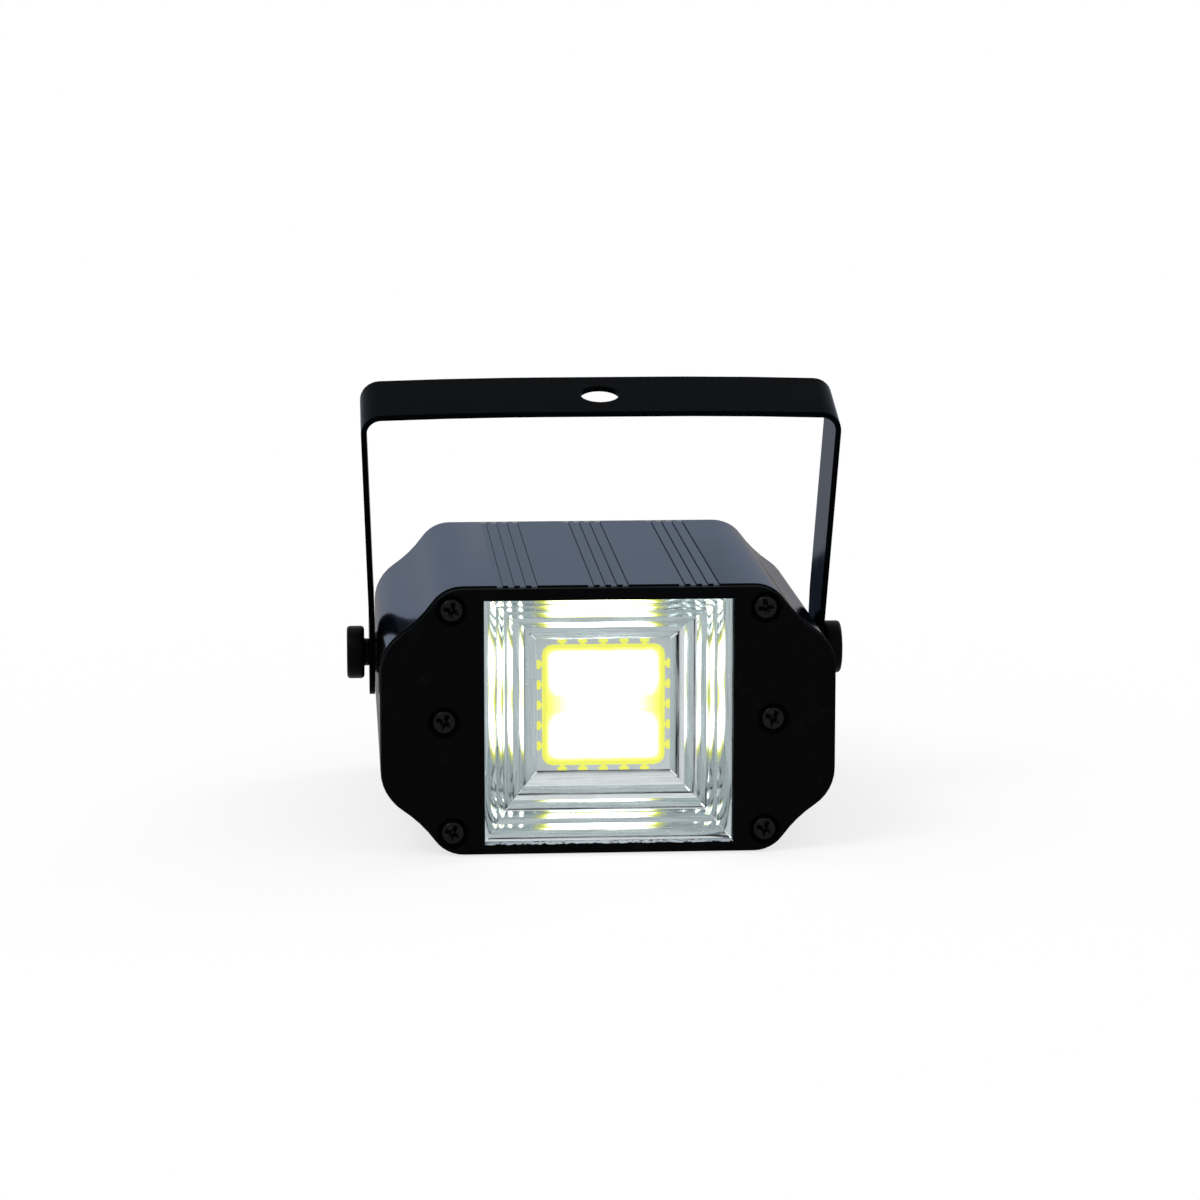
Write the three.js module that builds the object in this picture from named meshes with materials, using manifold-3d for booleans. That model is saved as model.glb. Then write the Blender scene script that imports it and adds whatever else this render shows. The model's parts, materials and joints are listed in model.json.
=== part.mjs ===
import * as THREE from "three";
import { mergeVertices } from "three/addons/utils/BufferGeometryUtils.js";
import Module from "manifold-3d";

const wasm = await Module();
wasm.setup();

// Strobe light: extruded housing, two end plates, lit square reflector and a tilting yoke.
// Millimetres. +Z is up, the light shines towards -Y, z = 0 is the flat underside.

// Fits shared by all pieces
const fitGap = 0.3;
const cutMargin = 1;
const weldDistance = 0.0001;

// Housing section: two end plates on an extruded tube with S-curved shoulders
const plateWidth = 91.8;
const plateHeight = 54.4;
const plateThickness = 2.5;
const overallLength = 93;
const grooveDepth = 0.3;
const wallThickness = 1.6;
const bulgeRadius = 9.11;
const bulgeTurn = THREE.MathUtils.degToRad(55.9);
const hollowRadius = 26.15;
const hollowTurn = THREE.MathUtils.degToRad(35.7);
const crestRadius = 7.22;
const bulgeSteps = 6;
const hollowSteps = 4;
const crestSteps = 6;

const tubeLength = overallLength - 2 * plateThickness;
const tubeFront = -tubeLength / 2;
const tubeBack = tubeLength / 2;
const plateFront = -overallLength / 2;
const plateBack = overallLength / 2;
const housingHalfWidth = plateWidth / 2 + grooveDepth;
const housingHeight = plateHeight + 2 * grooveDepth;
const middleZ = housingHeight / 2;
const cavityInset = wallThickness - grooveDepth;
const cavityHalfWidth = housingHalfWidth - wallThickness;
const sideFlatHalf = plateHeight / 2
  - (bulgeRadius + hollowRadius) * Math.sin(bulgeTurn)
  + (hollowRadius + crestRadius) * Math.sin(hollowTurn)
  - crestRadius;
const bulgeCentre = new THREE.Vector2(plateWidth / 2 - bulgeRadius, sideFlatHalf);
const hollowCentre = new THREE.Vector2(
  bulgeCentre.x + (bulgeRadius + hollowRadius) * Math.cos(bulgeTurn),
  bulgeCentre.y + (bulgeRadius + hollowRadius) * Math.sin(bulgeTurn),
);
const crestCentre = new THREE.Vector2(
  hollowCentre.x - (hollowRadius + crestRadius) * Math.cos(hollowTurn),
  hollowCentre.y - (hollowRadius + crestRadius) * Math.sin(hollowTurn),
);

// Grooves along the top, in groups
const grooveGroups = 3;
const groovesPerGroup = 4;
const groupPitchShare = 0.6246;
const groovePitch = 2.33;
const grooveWidth = 1.25;
const groupPitch = groupPitchShare * crestCentre.x;

// Screws that hold the end plates, and the channels they run into
const screwHeadRadius = 2.6;
const screwHeadHeight = 1.35;
const screwHeadEdge = 0.45;
const screwShaftRadius = 1.5;
const screwShaftLength = 8.5;
const screwBoreRadius = screwShaftRadius + fitGap;
const counterboreRadius = 3.2;
const counterboreChamfer = 0.2;
const counterboreDepth = 1.5;
const channelRadius = 3.2;
const channelWebHalf = 0.8;
const cornerScrewOffset = 2.25;
const cornerScrewEdge = 4.35;
const middleScrewEdge = 12.6;
const screwSides = 12;
const counterboreSides = 16;
const cornerScrewX = crestCentre.x + cornerScrewOffset;
const cornerScrewZ = plateHeight / 2 - cornerScrewEdge;
const middleScrewX = plateWidth / 2 - middleScrewEdge;

// Opening of the front plate and the reflector behind it
const openingRim = 2;
const openingLip = 0.25;
const openingDrop = 0.16;
const facetShares = [0.772, 0.611, 0.454, 0.247];
const facetDepths = [4.36, 8.39, 10.6, 12.94];
const facetBows = [0.27, 0.33, 0.1, 0.11, 0];
const facetSteps = [6, 7, 4, 4, 1];
const reflectorBaseHalf = 13.8;
const reflectorDepth = 15.1;
const reflectorWall = 1.1;
const flangeThickness = 1.5;
const flangeInset = cavityInset + fitGap;
const postRadius = 2.8;
const postHoleDepth = 8;

const mouthHalf = Math.min(
  plateHeight / 2 - openingRim,
  cornerScrewX - counterboreRadius - openingRim,
);
const facetHalves = facetShares.map((share) => (
  reflectorBaseHalf + (mouthHalf - reflectorBaseHalf) * share
));

// Light-emitting square, its frame, base slab and heat sink
const litHalf = 12.7;
const litCornerRadius = 2.2;
const toothReach = 13.8;
const toothCount = 5;
const toothPitch = 4.26;
const toothStemHalf = 0.5;
const toothHeadHalf = 0.98;
const toothHeadDepth = 0.8;
const cornerSteps = 3;
const ledFrameRim = 1.1;
const ledFrameThickness = 1.8;
const phosphorRecess = 0.2;
const ledBaseThickness = 1.5;
const ledBaseStep = 1;
const moduleScrewSide = 3.8;
const moduleScrewRim = 4;
const sinkSideGap = 1.5;
const sinkTopGap = 2.9;
const sinkBaseThickness = 3.5;
const finLength = 17;
const finCount = 9;
const finPitch = 4;
const finThickness = 1.4;
const moduleShaftLength = 11;

const ledFrameHalf = toothReach + ledFrameRim;
const sinkHalfWidth = cornerScrewX - channelRadius - sinkSideGap;
const sinkHalfHeight = middleZ - wallThickness - sinkTopGap;
const ledBaseHalfHeight = sinkHalfHeight - ledBaseStep;
const moduleScrewX = sinkHalfWidth - moduleScrewSide;
const moduleScrewZ = ledBaseHalfHeight - moduleScrewRim;
const ledFrameFront = tubeFront + reflectorDepth;
const ledBaseFront = ledFrameFront + ledFrameThickness;
const sinkFront = ledBaseFront + ledBaseThickness;
const sinkBaseBack = sinkFront + sinkBaseThickness;
const finEnd = sinkBaseBack + finLength;

// Yoke: bent flat strip turning on two thumb screws
const stripWidth = 18;
const stripThickness = 1.2;
const pivotInset = 3.856;
const bandReach = 59.2;
const bandFlatHalf = 12;
const bandBow = 960;
const bandSteps = 5;
const bendRadius = 4.2;
const bendSteps = 8;
const bendSplay = 1.47;
const straightArm = 10;
const bandHoleRadius = 4;
const bandHoleSides = 24;
const endSteps = 16;
const washerThickness = 0.5;
const washerRadius = 4.5;
const yokeLean = THREE.MathUtils.degToRad(17);

const pivotZ = middleZ + sideFlatHalf - pivotInset;
const armInnerHalf = housingHalfWidth + washerThickness;
const armOuterHalf = armInnerHalf + stripThickness;
const bendOuterHalf = armOuterHalf + bendSplay;

// Thumb knobs, their studs and the nuts inside the housing's sides
const knobRadius = 5.6;
const knobWidth = 3.7;
const knobEdge = 0.7;
const knobEdgeSteps = 3;
const knobNeckRadius = 2.9;
const knobNeckWidth = 1;
const knobFace = 1;
const knobSides = 24;
const studRadius = 2;
const studBoreRadius = studRadius + fitGap;
const studSpare = 0.8;
const studSides = 16;
const sideNutFlats = 7;
const sideNutThickness = 3.2;
const studInnerEnd = cavityHalfWidth - sideNutThickness - studSpare;

// Driver board on the lower channels, held down by two rails
const boardThickness = 1.6;
const boardFrontGap = 3.1;
const boardBackGap = 2;
const boardLap = 1.3;
const railOffset = 1.9;
const railThickness = 1.2;
const capacitorRadius = 5;
const capacitorHeight = 18;
const capacitorEdge = 0.6;
const capacitorX = -22;
const capacitorShare = 0.32;
const inductorRadius = 6.5;
const inductorWaist = 5;
const inductorHeight = 9;
const inductorCheek = 1.6;
const inductorX = 16;
const inductorShare = 0.25;
const componentSides = 16;
const transistorWidth = 10;
const transistorDepth = 4.5;
const transistorBodyHeight = 9;
const transistorTabThickness = 1.3;
const transistorTabHeight = 15;
const transistorLegCount = 3;
const transistorLegPitch = 2.54;
const transistorLegHalf = 0.4;
const transistorLegHeight = 3.5;
const transistorShare = 0.14;
const controllerWidth = 9.9;
const controllerLength = 3.9;
const controllerHeight = 1.5;
const controllerSlope = 0.3;
const controllerX = -9.5;
const controllerShare = 0.43;
const terminalWidth = 15;
const terminalDepth = 8;
const terminalHeight = 10;
const terminalStepDepth = 2.4;
const terminalStepHeight = 3.2;
const terminalPitch = 5;
const terminalWays = 3;
const terminalHoleRadius = 1.6;
const terminalHoleDepth = 4;
const terminalSill = 1.2;
const terminalX = 4;
const terminalBack = 11.5;

const boardZ = middleZ - cornerScrewZ + channelRadius;
const boardTop = boardZ + boardThickness;
const boardFront = finEnd + boardFrontGap;
const boardLength = tubeBack - boardBackGap - boardFront;
const railHalfGap = middleScrewX + railOffset;
const boardHalfWidth = railHalfGap + boardLap;
const terminalY = plateBack - terminalBack;

// Controls and inlet in the rear plate
const panelRise = 3.5;
const panelSideGap = 14.3;
const potRadius = 8;
const potDepth = 7;
const potBushingRadius = 3.5;
const potBushingLength = 5.5;
const potShaftRadius = 2;
const potShaftSeat = 3.7;
const potNutFlats = 10;
const potNutThickness = 2;
const dialRadius = 7.5;
const dialRibs = 18;
const dialRibDepth = 0.45;
const ribTopShares = [0.15, 0.5];
const ribValleyShares = [0.68, 0.97];
const dialBackGap = 0.6;
const dialFrontReach = 9.2;
const dialFace = 1.2;
const dialRecessRadius = 6.2;
const dialRecessSpare = 0.4;
const dialMarkHalf = 0.4;
const dialMarkDepth = 0.4;
const inletRadius = 5.5;
const inletBodyDepth = 14.5;
const inletFlangeRadius = 7;
const inletFlangeThickness = 2;
const inletEdge = 0.5;
const inletSocketRadius = 2.9;
const inletSocketDepth = 11.5;
const inletPinRadius = 1;
const inletPinRecess = 1;
const inletNutFlats = 14;
const inletNutThickness = 2.5;
const turnedSides = 20;
const switchHalfWidth = 4.4;
const switchHalfHeight = 6.7;
const switchDepth = 12.5;
const bezelHalfWidth = 5.2;
const bezelHalfHeight = 7.6;
const bezelThickness = 1.8;
const rockerRadius = 5.2;
const rockerHalfWidth = 3.5;
const rockerPeak = 1.2;
const rockerKeel = 2.5;
const rockerTilt = THREE.MathUtils.degToRad(12);
const rockerSteps = 6;
const rockerPocketDepth = 5;

// Insulated leads
const leadRadius = 0.8;
const leadSides = 6;
const ledLeadSteps = 18;
const panelLeadSteps = 12;
const leadEnd = 3;
const ledPadGap = 1.8;
const ledPadZ = 5.5;
const ledLeadGap = 0.6;
const ledLeadLap = 4;
const panelLeadReach = 6;
const groundLeadX = 25;
const groundLeadZ = 18;

const panelZ = middleZ + panelRise;
const switchX = middleScrewX - panelSideGap;
const potX = -switchX;
const potBack = tubeBack - potDepth;
const inletBack = plateBack - inletBodyDepth;
const switchBack = plateBack - switchDepth;
const dialFront = plateBack + dialFrontReach;
const dialBoreEnd = dialFront - dialFace;
const ledPadX = ledFrameHalf + ledPadGap;
const ledLeadSide = sinkHalfWidth + leadRadius + ledLeadGap;

// Shape helpers

function circlePath(x, y, radius, sides, Kind = THREE.Path) {
  const points = [];
  for (let step = 0; step < sides; step += 1) {
    const angle = (2 * Math.PI * step) / sides;
    points.push(new THREE.Vector2(x + radius * Math.cos(angle), y + radius * Math.sin(angle)));
  }
  return new Kind(points);
}

function rectangleShape(left, bottom, right, top) {
  return new THREE.Shape([
    new THREE.Vector2(left, bottom),
    new THREE.Vector2(right, bottom),
    new THREE.Vector2(right, top),
    new THREE.Vector2(left, top),
  ]);
}

function hexagonShape(acrossFlats, x, y) {
  return circlePath(x, y, acrossFlats / Math.sqrt(3), 6, THREE.Shape);
}

function addArc(points, centre, radius, from, to, steps, first) {
  for (let step = first; step <= steps; step += 1) {
    const angle = from + ((to - from) * step) / steps;
    points.push(new THREE.Vector2(
      centre.x + radius * Math.cos(angle),
      centre.y + radius * Math.sin(angle),
    ));
  }
}

function extrudeAlongZ(shape, start, length) {
  const geometry = new THREE.ExtrudeGeometry(shape, { depth: length, bevelEnabled: false });
  return geometry.translate(0, 0, start);
}

function extrudeAlongY(shape, start, length) {
  const geometry = new THREE.ExtrudeGeometry(shape, { depth: length, bevelEnabled: false });
  return geometry.rotateX(Math.PI / 2).translate(0, start + length, 0);
}

function extrudeAlongX(shape, start, length) {
  const geometry = new THREE.ExtrudeGeometry(shape, { depth: length, bevelEnabled: false });
  const turn = new THREE.Matrix4().makeBasis(
    new THREE.Vector3(0, 1, 0),
    new THREE.Vector3(0, 0, 1),
    new THREE.Vector3(1, 0, 0),
  );
  return geometry.applyMatrix4(turn).translate(start, 0, 0);
}

function rodAlongY(radius, start, end, x, z, sides) {
  const geometry = new THREE.CylinderGeometry(radius, radius, end - start, sides);
  return geometry.translate(x, (start + end) / 2, z);
}

function rodAlongX(radius, start, end, y, z, sides) {
  const geometry = new THREE.CylinderGeometry(radius, radius, end - start, sides);
  return geometry.rotateZ(-Math.PI / 2).translate((start + end) / 2, y, z);
}

function rodAlongZ(radius, start, end, x, y, sides) {
  const geometry = new THREE.CylinderGeometry(radius, radius, end - start, sides);
  return geometry.rotateX(Math.PI / 2).translate(x, y, (start + end) / 2);
}

function turned(pairs, sides, turnStart = 0) {
  const points = pairs.map(([radius, height]) => new THREE.Vector2(radius, height));
  return new THREE.LatheGeometry(points, sides, turnStart);
}

// Closed surface to solid: welds the corners and drops triangles without area
function toSolid(geometry) {
  const bare = geometry.clone();
  bare.deleteAttribute("normal");
  bare.deleteAttribute("uv");
  const welded = mergeVertices(bare, weldDistance);
  const corners = welded.index.array;
  const kept = [];
  for (let start = 0; start < corners.length; start += 3) {
    const [a, b, c] = [corners[start], corners[start + 1], corners[start + 2]];
    if (a !== b && b !== c && c !== a) {
      kept.push(a, b, c);
    }
  }
  return new wasm.Manifold(new wasm.Mesh({
    numProp: 3,
    vertProperties: new Float32Array(welded.attributes.position.array),
    triVerts: new Uint32Array(kept),
  }));
}

function toGeometry(solid) {
  const surface = solid.getMesh();
  const geometry = new THREE.BufferGeometry();
  geometry.setAttribute("position", new THREE.BufferAttribute(surface.vertProperties, 3));
  geometry.setIndex(new THREE.BufferAttribute(surface.triVerts, 1));
  geometry.computeVertexNormals();
  return geometry;
}

function joined(geometries) {
  return geometries.map(toSolid).reduce((whole, piece) => whole.add(piece));
}

// Housing section

// One shoulder from the side's flat up to the top's flat, moved inwards by the inset
function shoulderPoints(inset) {
  const points = [];
  addArc(points, bulgeCentre, bulgeRadius - inset, 0, bulgeTurn, bulgeSteps, 0);
  addArc(points, hollowCentre, -hollowRadius - inset, bulgeTurn, hollowTurn, hollowSteps, 1);
  addArc(points, crestCentre, crestRadius - inset, hollowTurn, Math.PI / 2, crestSteps, 1);
  return points;
}

function grooveCentres() {
  const centres = [];
  for (let group = 0; group < grooveGroups; group += 1) {
    for (let groove = 0; groove < groovesPerGroup; groove += 1) {
      const groupX = (group - (grooveGroups - 1) / 2) * groupPitch;
      centres.push(groupX + (groove - (groovesPerGroup - 1) / 2) * groovePitch);
    }
  }
  return centres;
}

// Notches of the grooves from right to left, measured from the section's middle
function groovePoints() {
  const top = housingHeight / 2;
  return grooveCentres().reverse().flatMap((x) => [
    new THREE.Vector2(x + grooveWidth / 2, top),
    new THREE.Vector2(x + grooveWidth / 2, top - grooveDepth),
    new THREE.Vector2(x - grooveWidth / 2, top - grooveDepth),
    new THREE.Vector2(x - grooveWidth / 2, top),
  ]);
}

function sectionShape(inset, topPoints = []) {
  const quarter = shoulderPoints(inset);
  const back = [...quarter].reverse();
  const loop = [
    ...quarter,
    ...topPoints,
    ...back.map((point) => new THREE.Vector2(-point.x, point.y)),
    ...quarter.map((point) => new THREE.Vector2(-point.x, -point.y)),
    ...back.map((point) => new THREE.Vector2(point.x, -point.y)),
  ];
  return new THREE.Shape(loop.map((point) => new THREE.Vector2(point.x, point.y + middleZ)));
}

function plateScrewSpots() {
  return [
    [-cornerScrewX, middleZ + cornerScrewZ],
    [cornerScrewX, middleZ + cornerScrewZ],
    [-middleScrewX, middleZ],
    [middleScrewX, middleZ],
    [-cornerScrewX, middleZ - cornerScrewZ],
    [cornerScrewX, middleZ - cornerScrewZ],
  ];
}

function moduleScrewSpots() {
  return [
    [-moduleScrewX, middleZ + moduleScrewZ],
    [moduleScrewX, middleZ + moduleScrewZ],
    [-moduleScrewX, middleZ - moduleScrewZ],
    [moduleScrewX, middleZ - moduleScrewZ],
  ];
}

// Housing

function housingShell() {
  const outer = toSolid(extrudeAlongY(sectionShape(-grooveDepth, groovePoints()), tubeFront, tubeLength));
  const cavity = extrudeAlongY(
    sectionShape(cavityInset),
    tubeFront - cutMargin,
    tubeLength + 2 * cutMargin,
  );
  const ribFront = tubeFront + flangeThickness;
  const ribs = plateScrewSpots().map(([x, z]) => (
    rodAlongY(channelRadius, ribFront, tubeBack, x, z, screwSides)
  ));
  for (const side of [-1, 1]) {
    const webStart = Math.min(side * middleScrewX, side * housingHalfWidth);
    const web = rectangleShape(
      webStart,
      middleZ - channelWebHalf,
      webStart + housingHalfWidth - middleScrewX,
      middleZ + channelWebHalf,
    );
    const railStart = Math.min(side * railHalfGap, side * housingHalfWidth);
    const rail = rectangleShape(
      railStart,
      boardTop + fitGap,
      railStart + housingHalfWidth - railHalfGap,
      boardTop + fitGap + railThickness,
    );
    ribs.push(extrudeAlongY(web, ribFront, tubeBack - ribFront));
    ribs.push(extrudeAlongY(rail, ribFront, tubeBack - ribFront));
  }
  const bores = plateScrewSpots().map(([x, z]) => (
    rodAlongY(screwBoreRadius, tubeFront - cutMargin, tubeBack + cutMargin, x, z, screwSides)
  ));
  const nutRooms = [];
  for (const side of [-1, 1]) {
    const wallBore = rodAlongX(
      studBoreRadius,
      cavityHalfWidth - cutMargin,
      housingHalfWidth + cutMargin,
      0,
      0,
      studSides,
    );
    const nutRoom = rodAlongX(
      sideNutFlats / Math.sqrt(3) + fitGap,
      studInnerEnd - fitGap,
      cavityHalfWidth,
      0,
      0,
      studSides,
    );
    bores.push(onSide(wallBore, side));
    nutRooms.push(onSide(nutRoom, side));
  }
  const inner = joined(ribs).subtract(joined(nutRooms)).intersect(outer);
  const shell = outer.subtract(toSolid(cavity)).add(inner);
  return toGeometry(shell.subtract(joined(bores)));
}

// Cutter for a screw's shaft and sunk head; the seat is at y = 0 and the head side at -y
function counterboreCutter() {
  return turned([
    [0, -counterboreDepth - cutMargin],
    [counterboreRadius + counterboreChamfer, -counterboreDepth - cutMargin],
    [counterboreRadius + counterboreChamfer, -counterboreDepth],
    [counterboreRadius, counterboreChamfer - counterboreDepth],
    [counterboreRadius, 0],
    [screwBoreRadius, 0],
    [screwBoreRadius, plateThickness],
    [0, plateThickness],
  ], counterboreSides);
}

function frontPlate() {
  const openingZ = middleZ - openingDrop;
  const shape = sectionShape(0);
  shape.holes.push(rectangleShape(
    -mouthHalf,
    openingZ - mouthHalf + openingLip,
    mouthHalf,
    openingZ + mouthHalf - openingLip,
  ));
  const plate = toSolid(extrudeAlongY(shape, plateFront, plateThickness));
  const seats = plateScrewSpots().map(([x, z]) => (
    counterboreCutter().translate(x, plateFront + counterboreDepth, z)
  ));
  return toGeometry(plate.subtract(joined(seats)));
}

function rearPlate() {
  const shape = sectionShape(0);
  shape.holes.push(circlePath(potX, panelZ, potBushingRadius + fitGap, turnedSides));
  shape.holes.push(circlePath(0, panelZ, inletRadius + fitGap, turnedSides));
  shape.holes.push(rectangleShape(
    switchX - switchHalfWidth - fitGap,
    panelZ - switchHalfHeight - fitGap,
    switchX + switchHalfWidth + fitGap,
    panelZ + switchHalfHeight + fitGap,
  ));
  const plate = toSolid(extrudeAlongY(shape, tubeBack, plateThickness));
  const seats = plateScrewSpots().map(([x, z]) => (
    counterboreCutter().rotateX(Math.PI).translate(x, plateBack - counterboreDepth, z)
  ));
  return toGeometry(plate.subtract(joined(seats)));
}

// Pan-head screw along y: the head's seat is at y = 0, the head points towards -y
function panScrew(shaftLength) {
  return turned([
    [0, -screwHeadHeight],
    [screwHeadRadius - screwHeadEdge, -screwHeadHeight],
    [screwHeadRadius, screwHeadEdge - screwHeadHeight],
    [screwHeadRadius, 0],
    [screwShaftRadius, 0],
    [screwShaftRadius, shaftLength],
    [0, shaftLength],
  ], screwSides);
}

function frontScrew([x, z]) {
  return panScrew(screwShaftLength).translate(x, plateFront + counterboreDepth, z);
}

function rearScrew([x, z]) {
  return panScrew(screwShaftLength).rotateX(Math.PI).translate(x, plateBack - counterboreDepth, z);
}

function moduleScrew([x, z]) {
  return panScrew(moduleShaftLength).rotateX(Math.PI).translate(x, sinkBaseBack, z);
}

// Reflector

// Inner wall from the mouth to the base as [half width, depth], the facets bowed inwards
function facetPoints() {
  const halves = [mouthHalf, ...facetHalves, reflectorBaseHalf];
  const depths = [0, ...facetDepths, reflectorDepth];
  const points = [[halves[0], depths[0]]];
  for (let facet = 1; facet < halves.length; facet += 1) {
    const across = halves[facet] - halves[facet - 1];
    const along = depths[facet] - depths[facet - 1];
    const length = Math.hypot(across, along);
    const steps = facetSteps[facet - 1];
    for (let step = 1; step <= steps; step += 1) {
      const share = step / steps;
      const bow = 4 * facetBows[facet - 1] * share * (1 - share);
      points.push([
        halves[facet - 1] + across * share - (bow * along) / length,
        depths[facet - 1] + along * share + (bow * across) / length,
      ]);
    }
  }
  return points;
}

// Four-sided funnel from [half width, depth] pairs, its sides square to x and z
function squareFunnel(pairs) {
  const corners = pairs.map(([half, depth]) => [half * Math.SQRT2, tubeFront + depth]);
  return turned(corners, 4, Math.PI / 4).translate(0, 0, middleZ);
}

function reflector() {
  const facets = facetPoints();
  const neckHalf = reflectorBaseHalf + reflectorWall;
  const shoulderHalf = plateHeight / 2 - flangeInset - fitGap / 2;
  const outside = [
    [0, flangeThickness / 2],
    [shoulderHalf, flangeThickness / 2],
    [shoulderHalf, flangeThickness],
    ...facetDepths.map((depth, facet) => [facetHalves[facet] + reflectorWall, depth]),
    [neckHalf, reflectorDepth],
    [0, reflectorDepth],
  ];
  const inside = [
    [0, -cutMargin],
    [mouthHalf, -cutMargin],
    ...facets,
    [reflectorBaseHalf, reflectorDepth + cutMargin],
    [0, reflectorDepth + cutMargin],
  ];
  const flange = extrudeAlongY(sectionShape(flangeInset), tubeFront, flangeThickness);
  const posts = moduleScrewSpots().map(([x, z]) => (
    rodAlongY(postRadius, tubeFront + flangeThickness / 2, ledBaseFront, x, z, screwSides)
  ));
  const bores = [
    ...plateScrewSpots().map(([x, z]) => rodAlongY(
      screwBoreRadius,
      tubeFront - cutMargin,
      tubeFront + flangeThickness + cutMargin,
      x,
      z,
      screwSides,
    )),
    ...moduleScrewSpots().map(([x, z]) => rodAlongY(
      screwBoreRadius,
      ledBaseFront - postHoleDepth,
      ledBaseFront + cutMargin,
      x,
      z,
      screwSides,
    )),
  ];
  const body = joined([flange, squareFunnel(outside), ...posts]);
  return toGeometry(body.subtract(joined([squareFunnel(inside), ...bores])));
}

// Light source

// Outline of the lit square: T-shaped teeth along each side and rounded corners
function toothedPoints() {
  const side = [];
  for (let tooth = 0; tooth < toothCount; tooth += 1) {
    const x = (tooth - (toothCount - 1) / 2) * toothPitch;
    const headStart = toothReach - toothHeadDepth;
    side.push([x - toothStemHalf, litHalf], [x - toothStemHalf, headStart]);
    side.push([x - toothHeadHalf, headStart], [x - toothHeadHalf, toothReach]);
    side.push([x + toothHeadHalf, toothReach], [x + toothHeadHalf, headStart]);
    side.push([x + toothStemHalf, headStart], [x + toothStemHalf, litHalf]);
  }
  const points = [];
  for (let quarter = 0; quarter < 4; quarter += 1) {
    const turn = (quarter * Math.PI) / 2;
    const edge = side.map(([x, z]) => new THREE.Vector2(x, -z));
    const corner = new THREE.Vector2(litHalf - litCornerRadius, litCornerRadius - litHalf);
    addArc(edge, corner, litCornerRadius, -Math.PI / 2, 0, cornerSteps, 0);
    points.push(...edge.map((point) => point.rotateAround(new THREE.Vector2(), turn)));
  }
  return points.map((point) => new THREE.Vector2(point.x, point.y + middleZ));
}

function ledFrame() {
  const shape = rectangleShape(
    -ledFrameHalf,
    middleZ - ledFrameHalf,
    ledFrameHalf,
    middleZ + ledFrameHalf,
  );
  shape.holes.push(new THREE.Path(toothedPoints()));
  return extrudeAlongY(shape, ledFrameFront, ledFrameThickness);
}

function ledPhosphor() {
  return extrudeAlongY(
    new THREE.Shape(toothedPoints()),
    ledFrameFront + phosphorRecess,
    ledFrameThickness - phosphorRecess,
  );
}

function ledBase() {
  const shape = rectangleShape(
    -sinkHalfWidth,
    middleZ - ledBaseHalfHeight,
    sinkHalfWidth,
    middleZ + ledBaseHalfHeight,
  );
  for (const [x, z] of moduleScrewSpots()) {
    shape.holes.push(circlePath(x, z, screwBoreRadius, screwSides));
  }
  return extrudeAlongY(shape, ledBaseFront, ledBaseThickness);
}

function heatSink() {
  const comb = [
    new THREE.Vector2(-sinkHalfWidth, sinkFront),
    new THREE.Vector2(sinkHalfWidth, sinkFront),
    new THREE.Vector2(sinkHalfWidth, sinkBaseBack),
  ];
  for (let fin = finCount - 1; fin >= 0; fin -= 1) {
    const x = (fin - (finCount - 1) / 2) * finPitch;
    comb.push(new THREE.Vector2(x + finThickness / 2, sinkBaseBack));
    comb.push(new THREE.Vector2(x + finThickness / 2, finEnd));
    comb.push(new THREE.Vector2(x - finThickness / 2, finEnd));
    comb.push(new THREE.Vector2(x - finThickness / 2, sinkBaseBack));
  }
  comb.push(new THREE.Vector2(-sinkHalfWidth, sinkBaseBack));
  const body = extrudeAlongZ(new THREE.Shape(comb), middleZ - sinkHalfHeight, 2 * sinkHalfHeight);
  const bores = moduleScrewSpots().map(([x, z]) => (
    rodAlongY(screwBoreRadius, sinkFront - cutMargin, sinkBaseBack + cutMargin, x, z, screwSides)
  ));
  return toGeometry(toSolid(body).subtract(joined(bores)));
}

// Yoke and thumb screws

// Points along the right half of the strip, at a distance inside its outer face
function stripPoints(inside) {
  const bowCentre = new THREE.Vector2(bandFlatHalf, bandReach - bandBow);
  const bendX = bendOuterHalf - bendRadius;
  const bowTurn = Math.asin((bendX - bandFlatHalf) / (bandBow - bendRadius));
  const bendCentre = new THREE.Vector2(
    bendX,
    bowCentre.y + (bandBow - bendRadius) * Math.cos(bowTurn),
  );
  const reachX = bendCentre.x - armOuterHalf;
  const reachZ = bendCentre.y - straightArm;
  const splay = Math.atan2(reachX, reachZ) + Math.asin(bendRadius / Math.hypot(reachX, reachZ));
  const points = [
    new THREE.Vector2(armOuterHalf - inside, -stripWidth / 2),
    new THREE.Vector2(armOuterHalf - inside, straightArm),
  ];
  addArc(points, bendCentre, bendRadius - inside, -splay, Math.PI / 2 - bowTurn, bendSteps, 0);
  addArc(points, bowCentre, bandBow - inside, Math.PI / 2 - bowTurn, Math.PI / 2, bandSteps, 1);
  return points;
}

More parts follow.
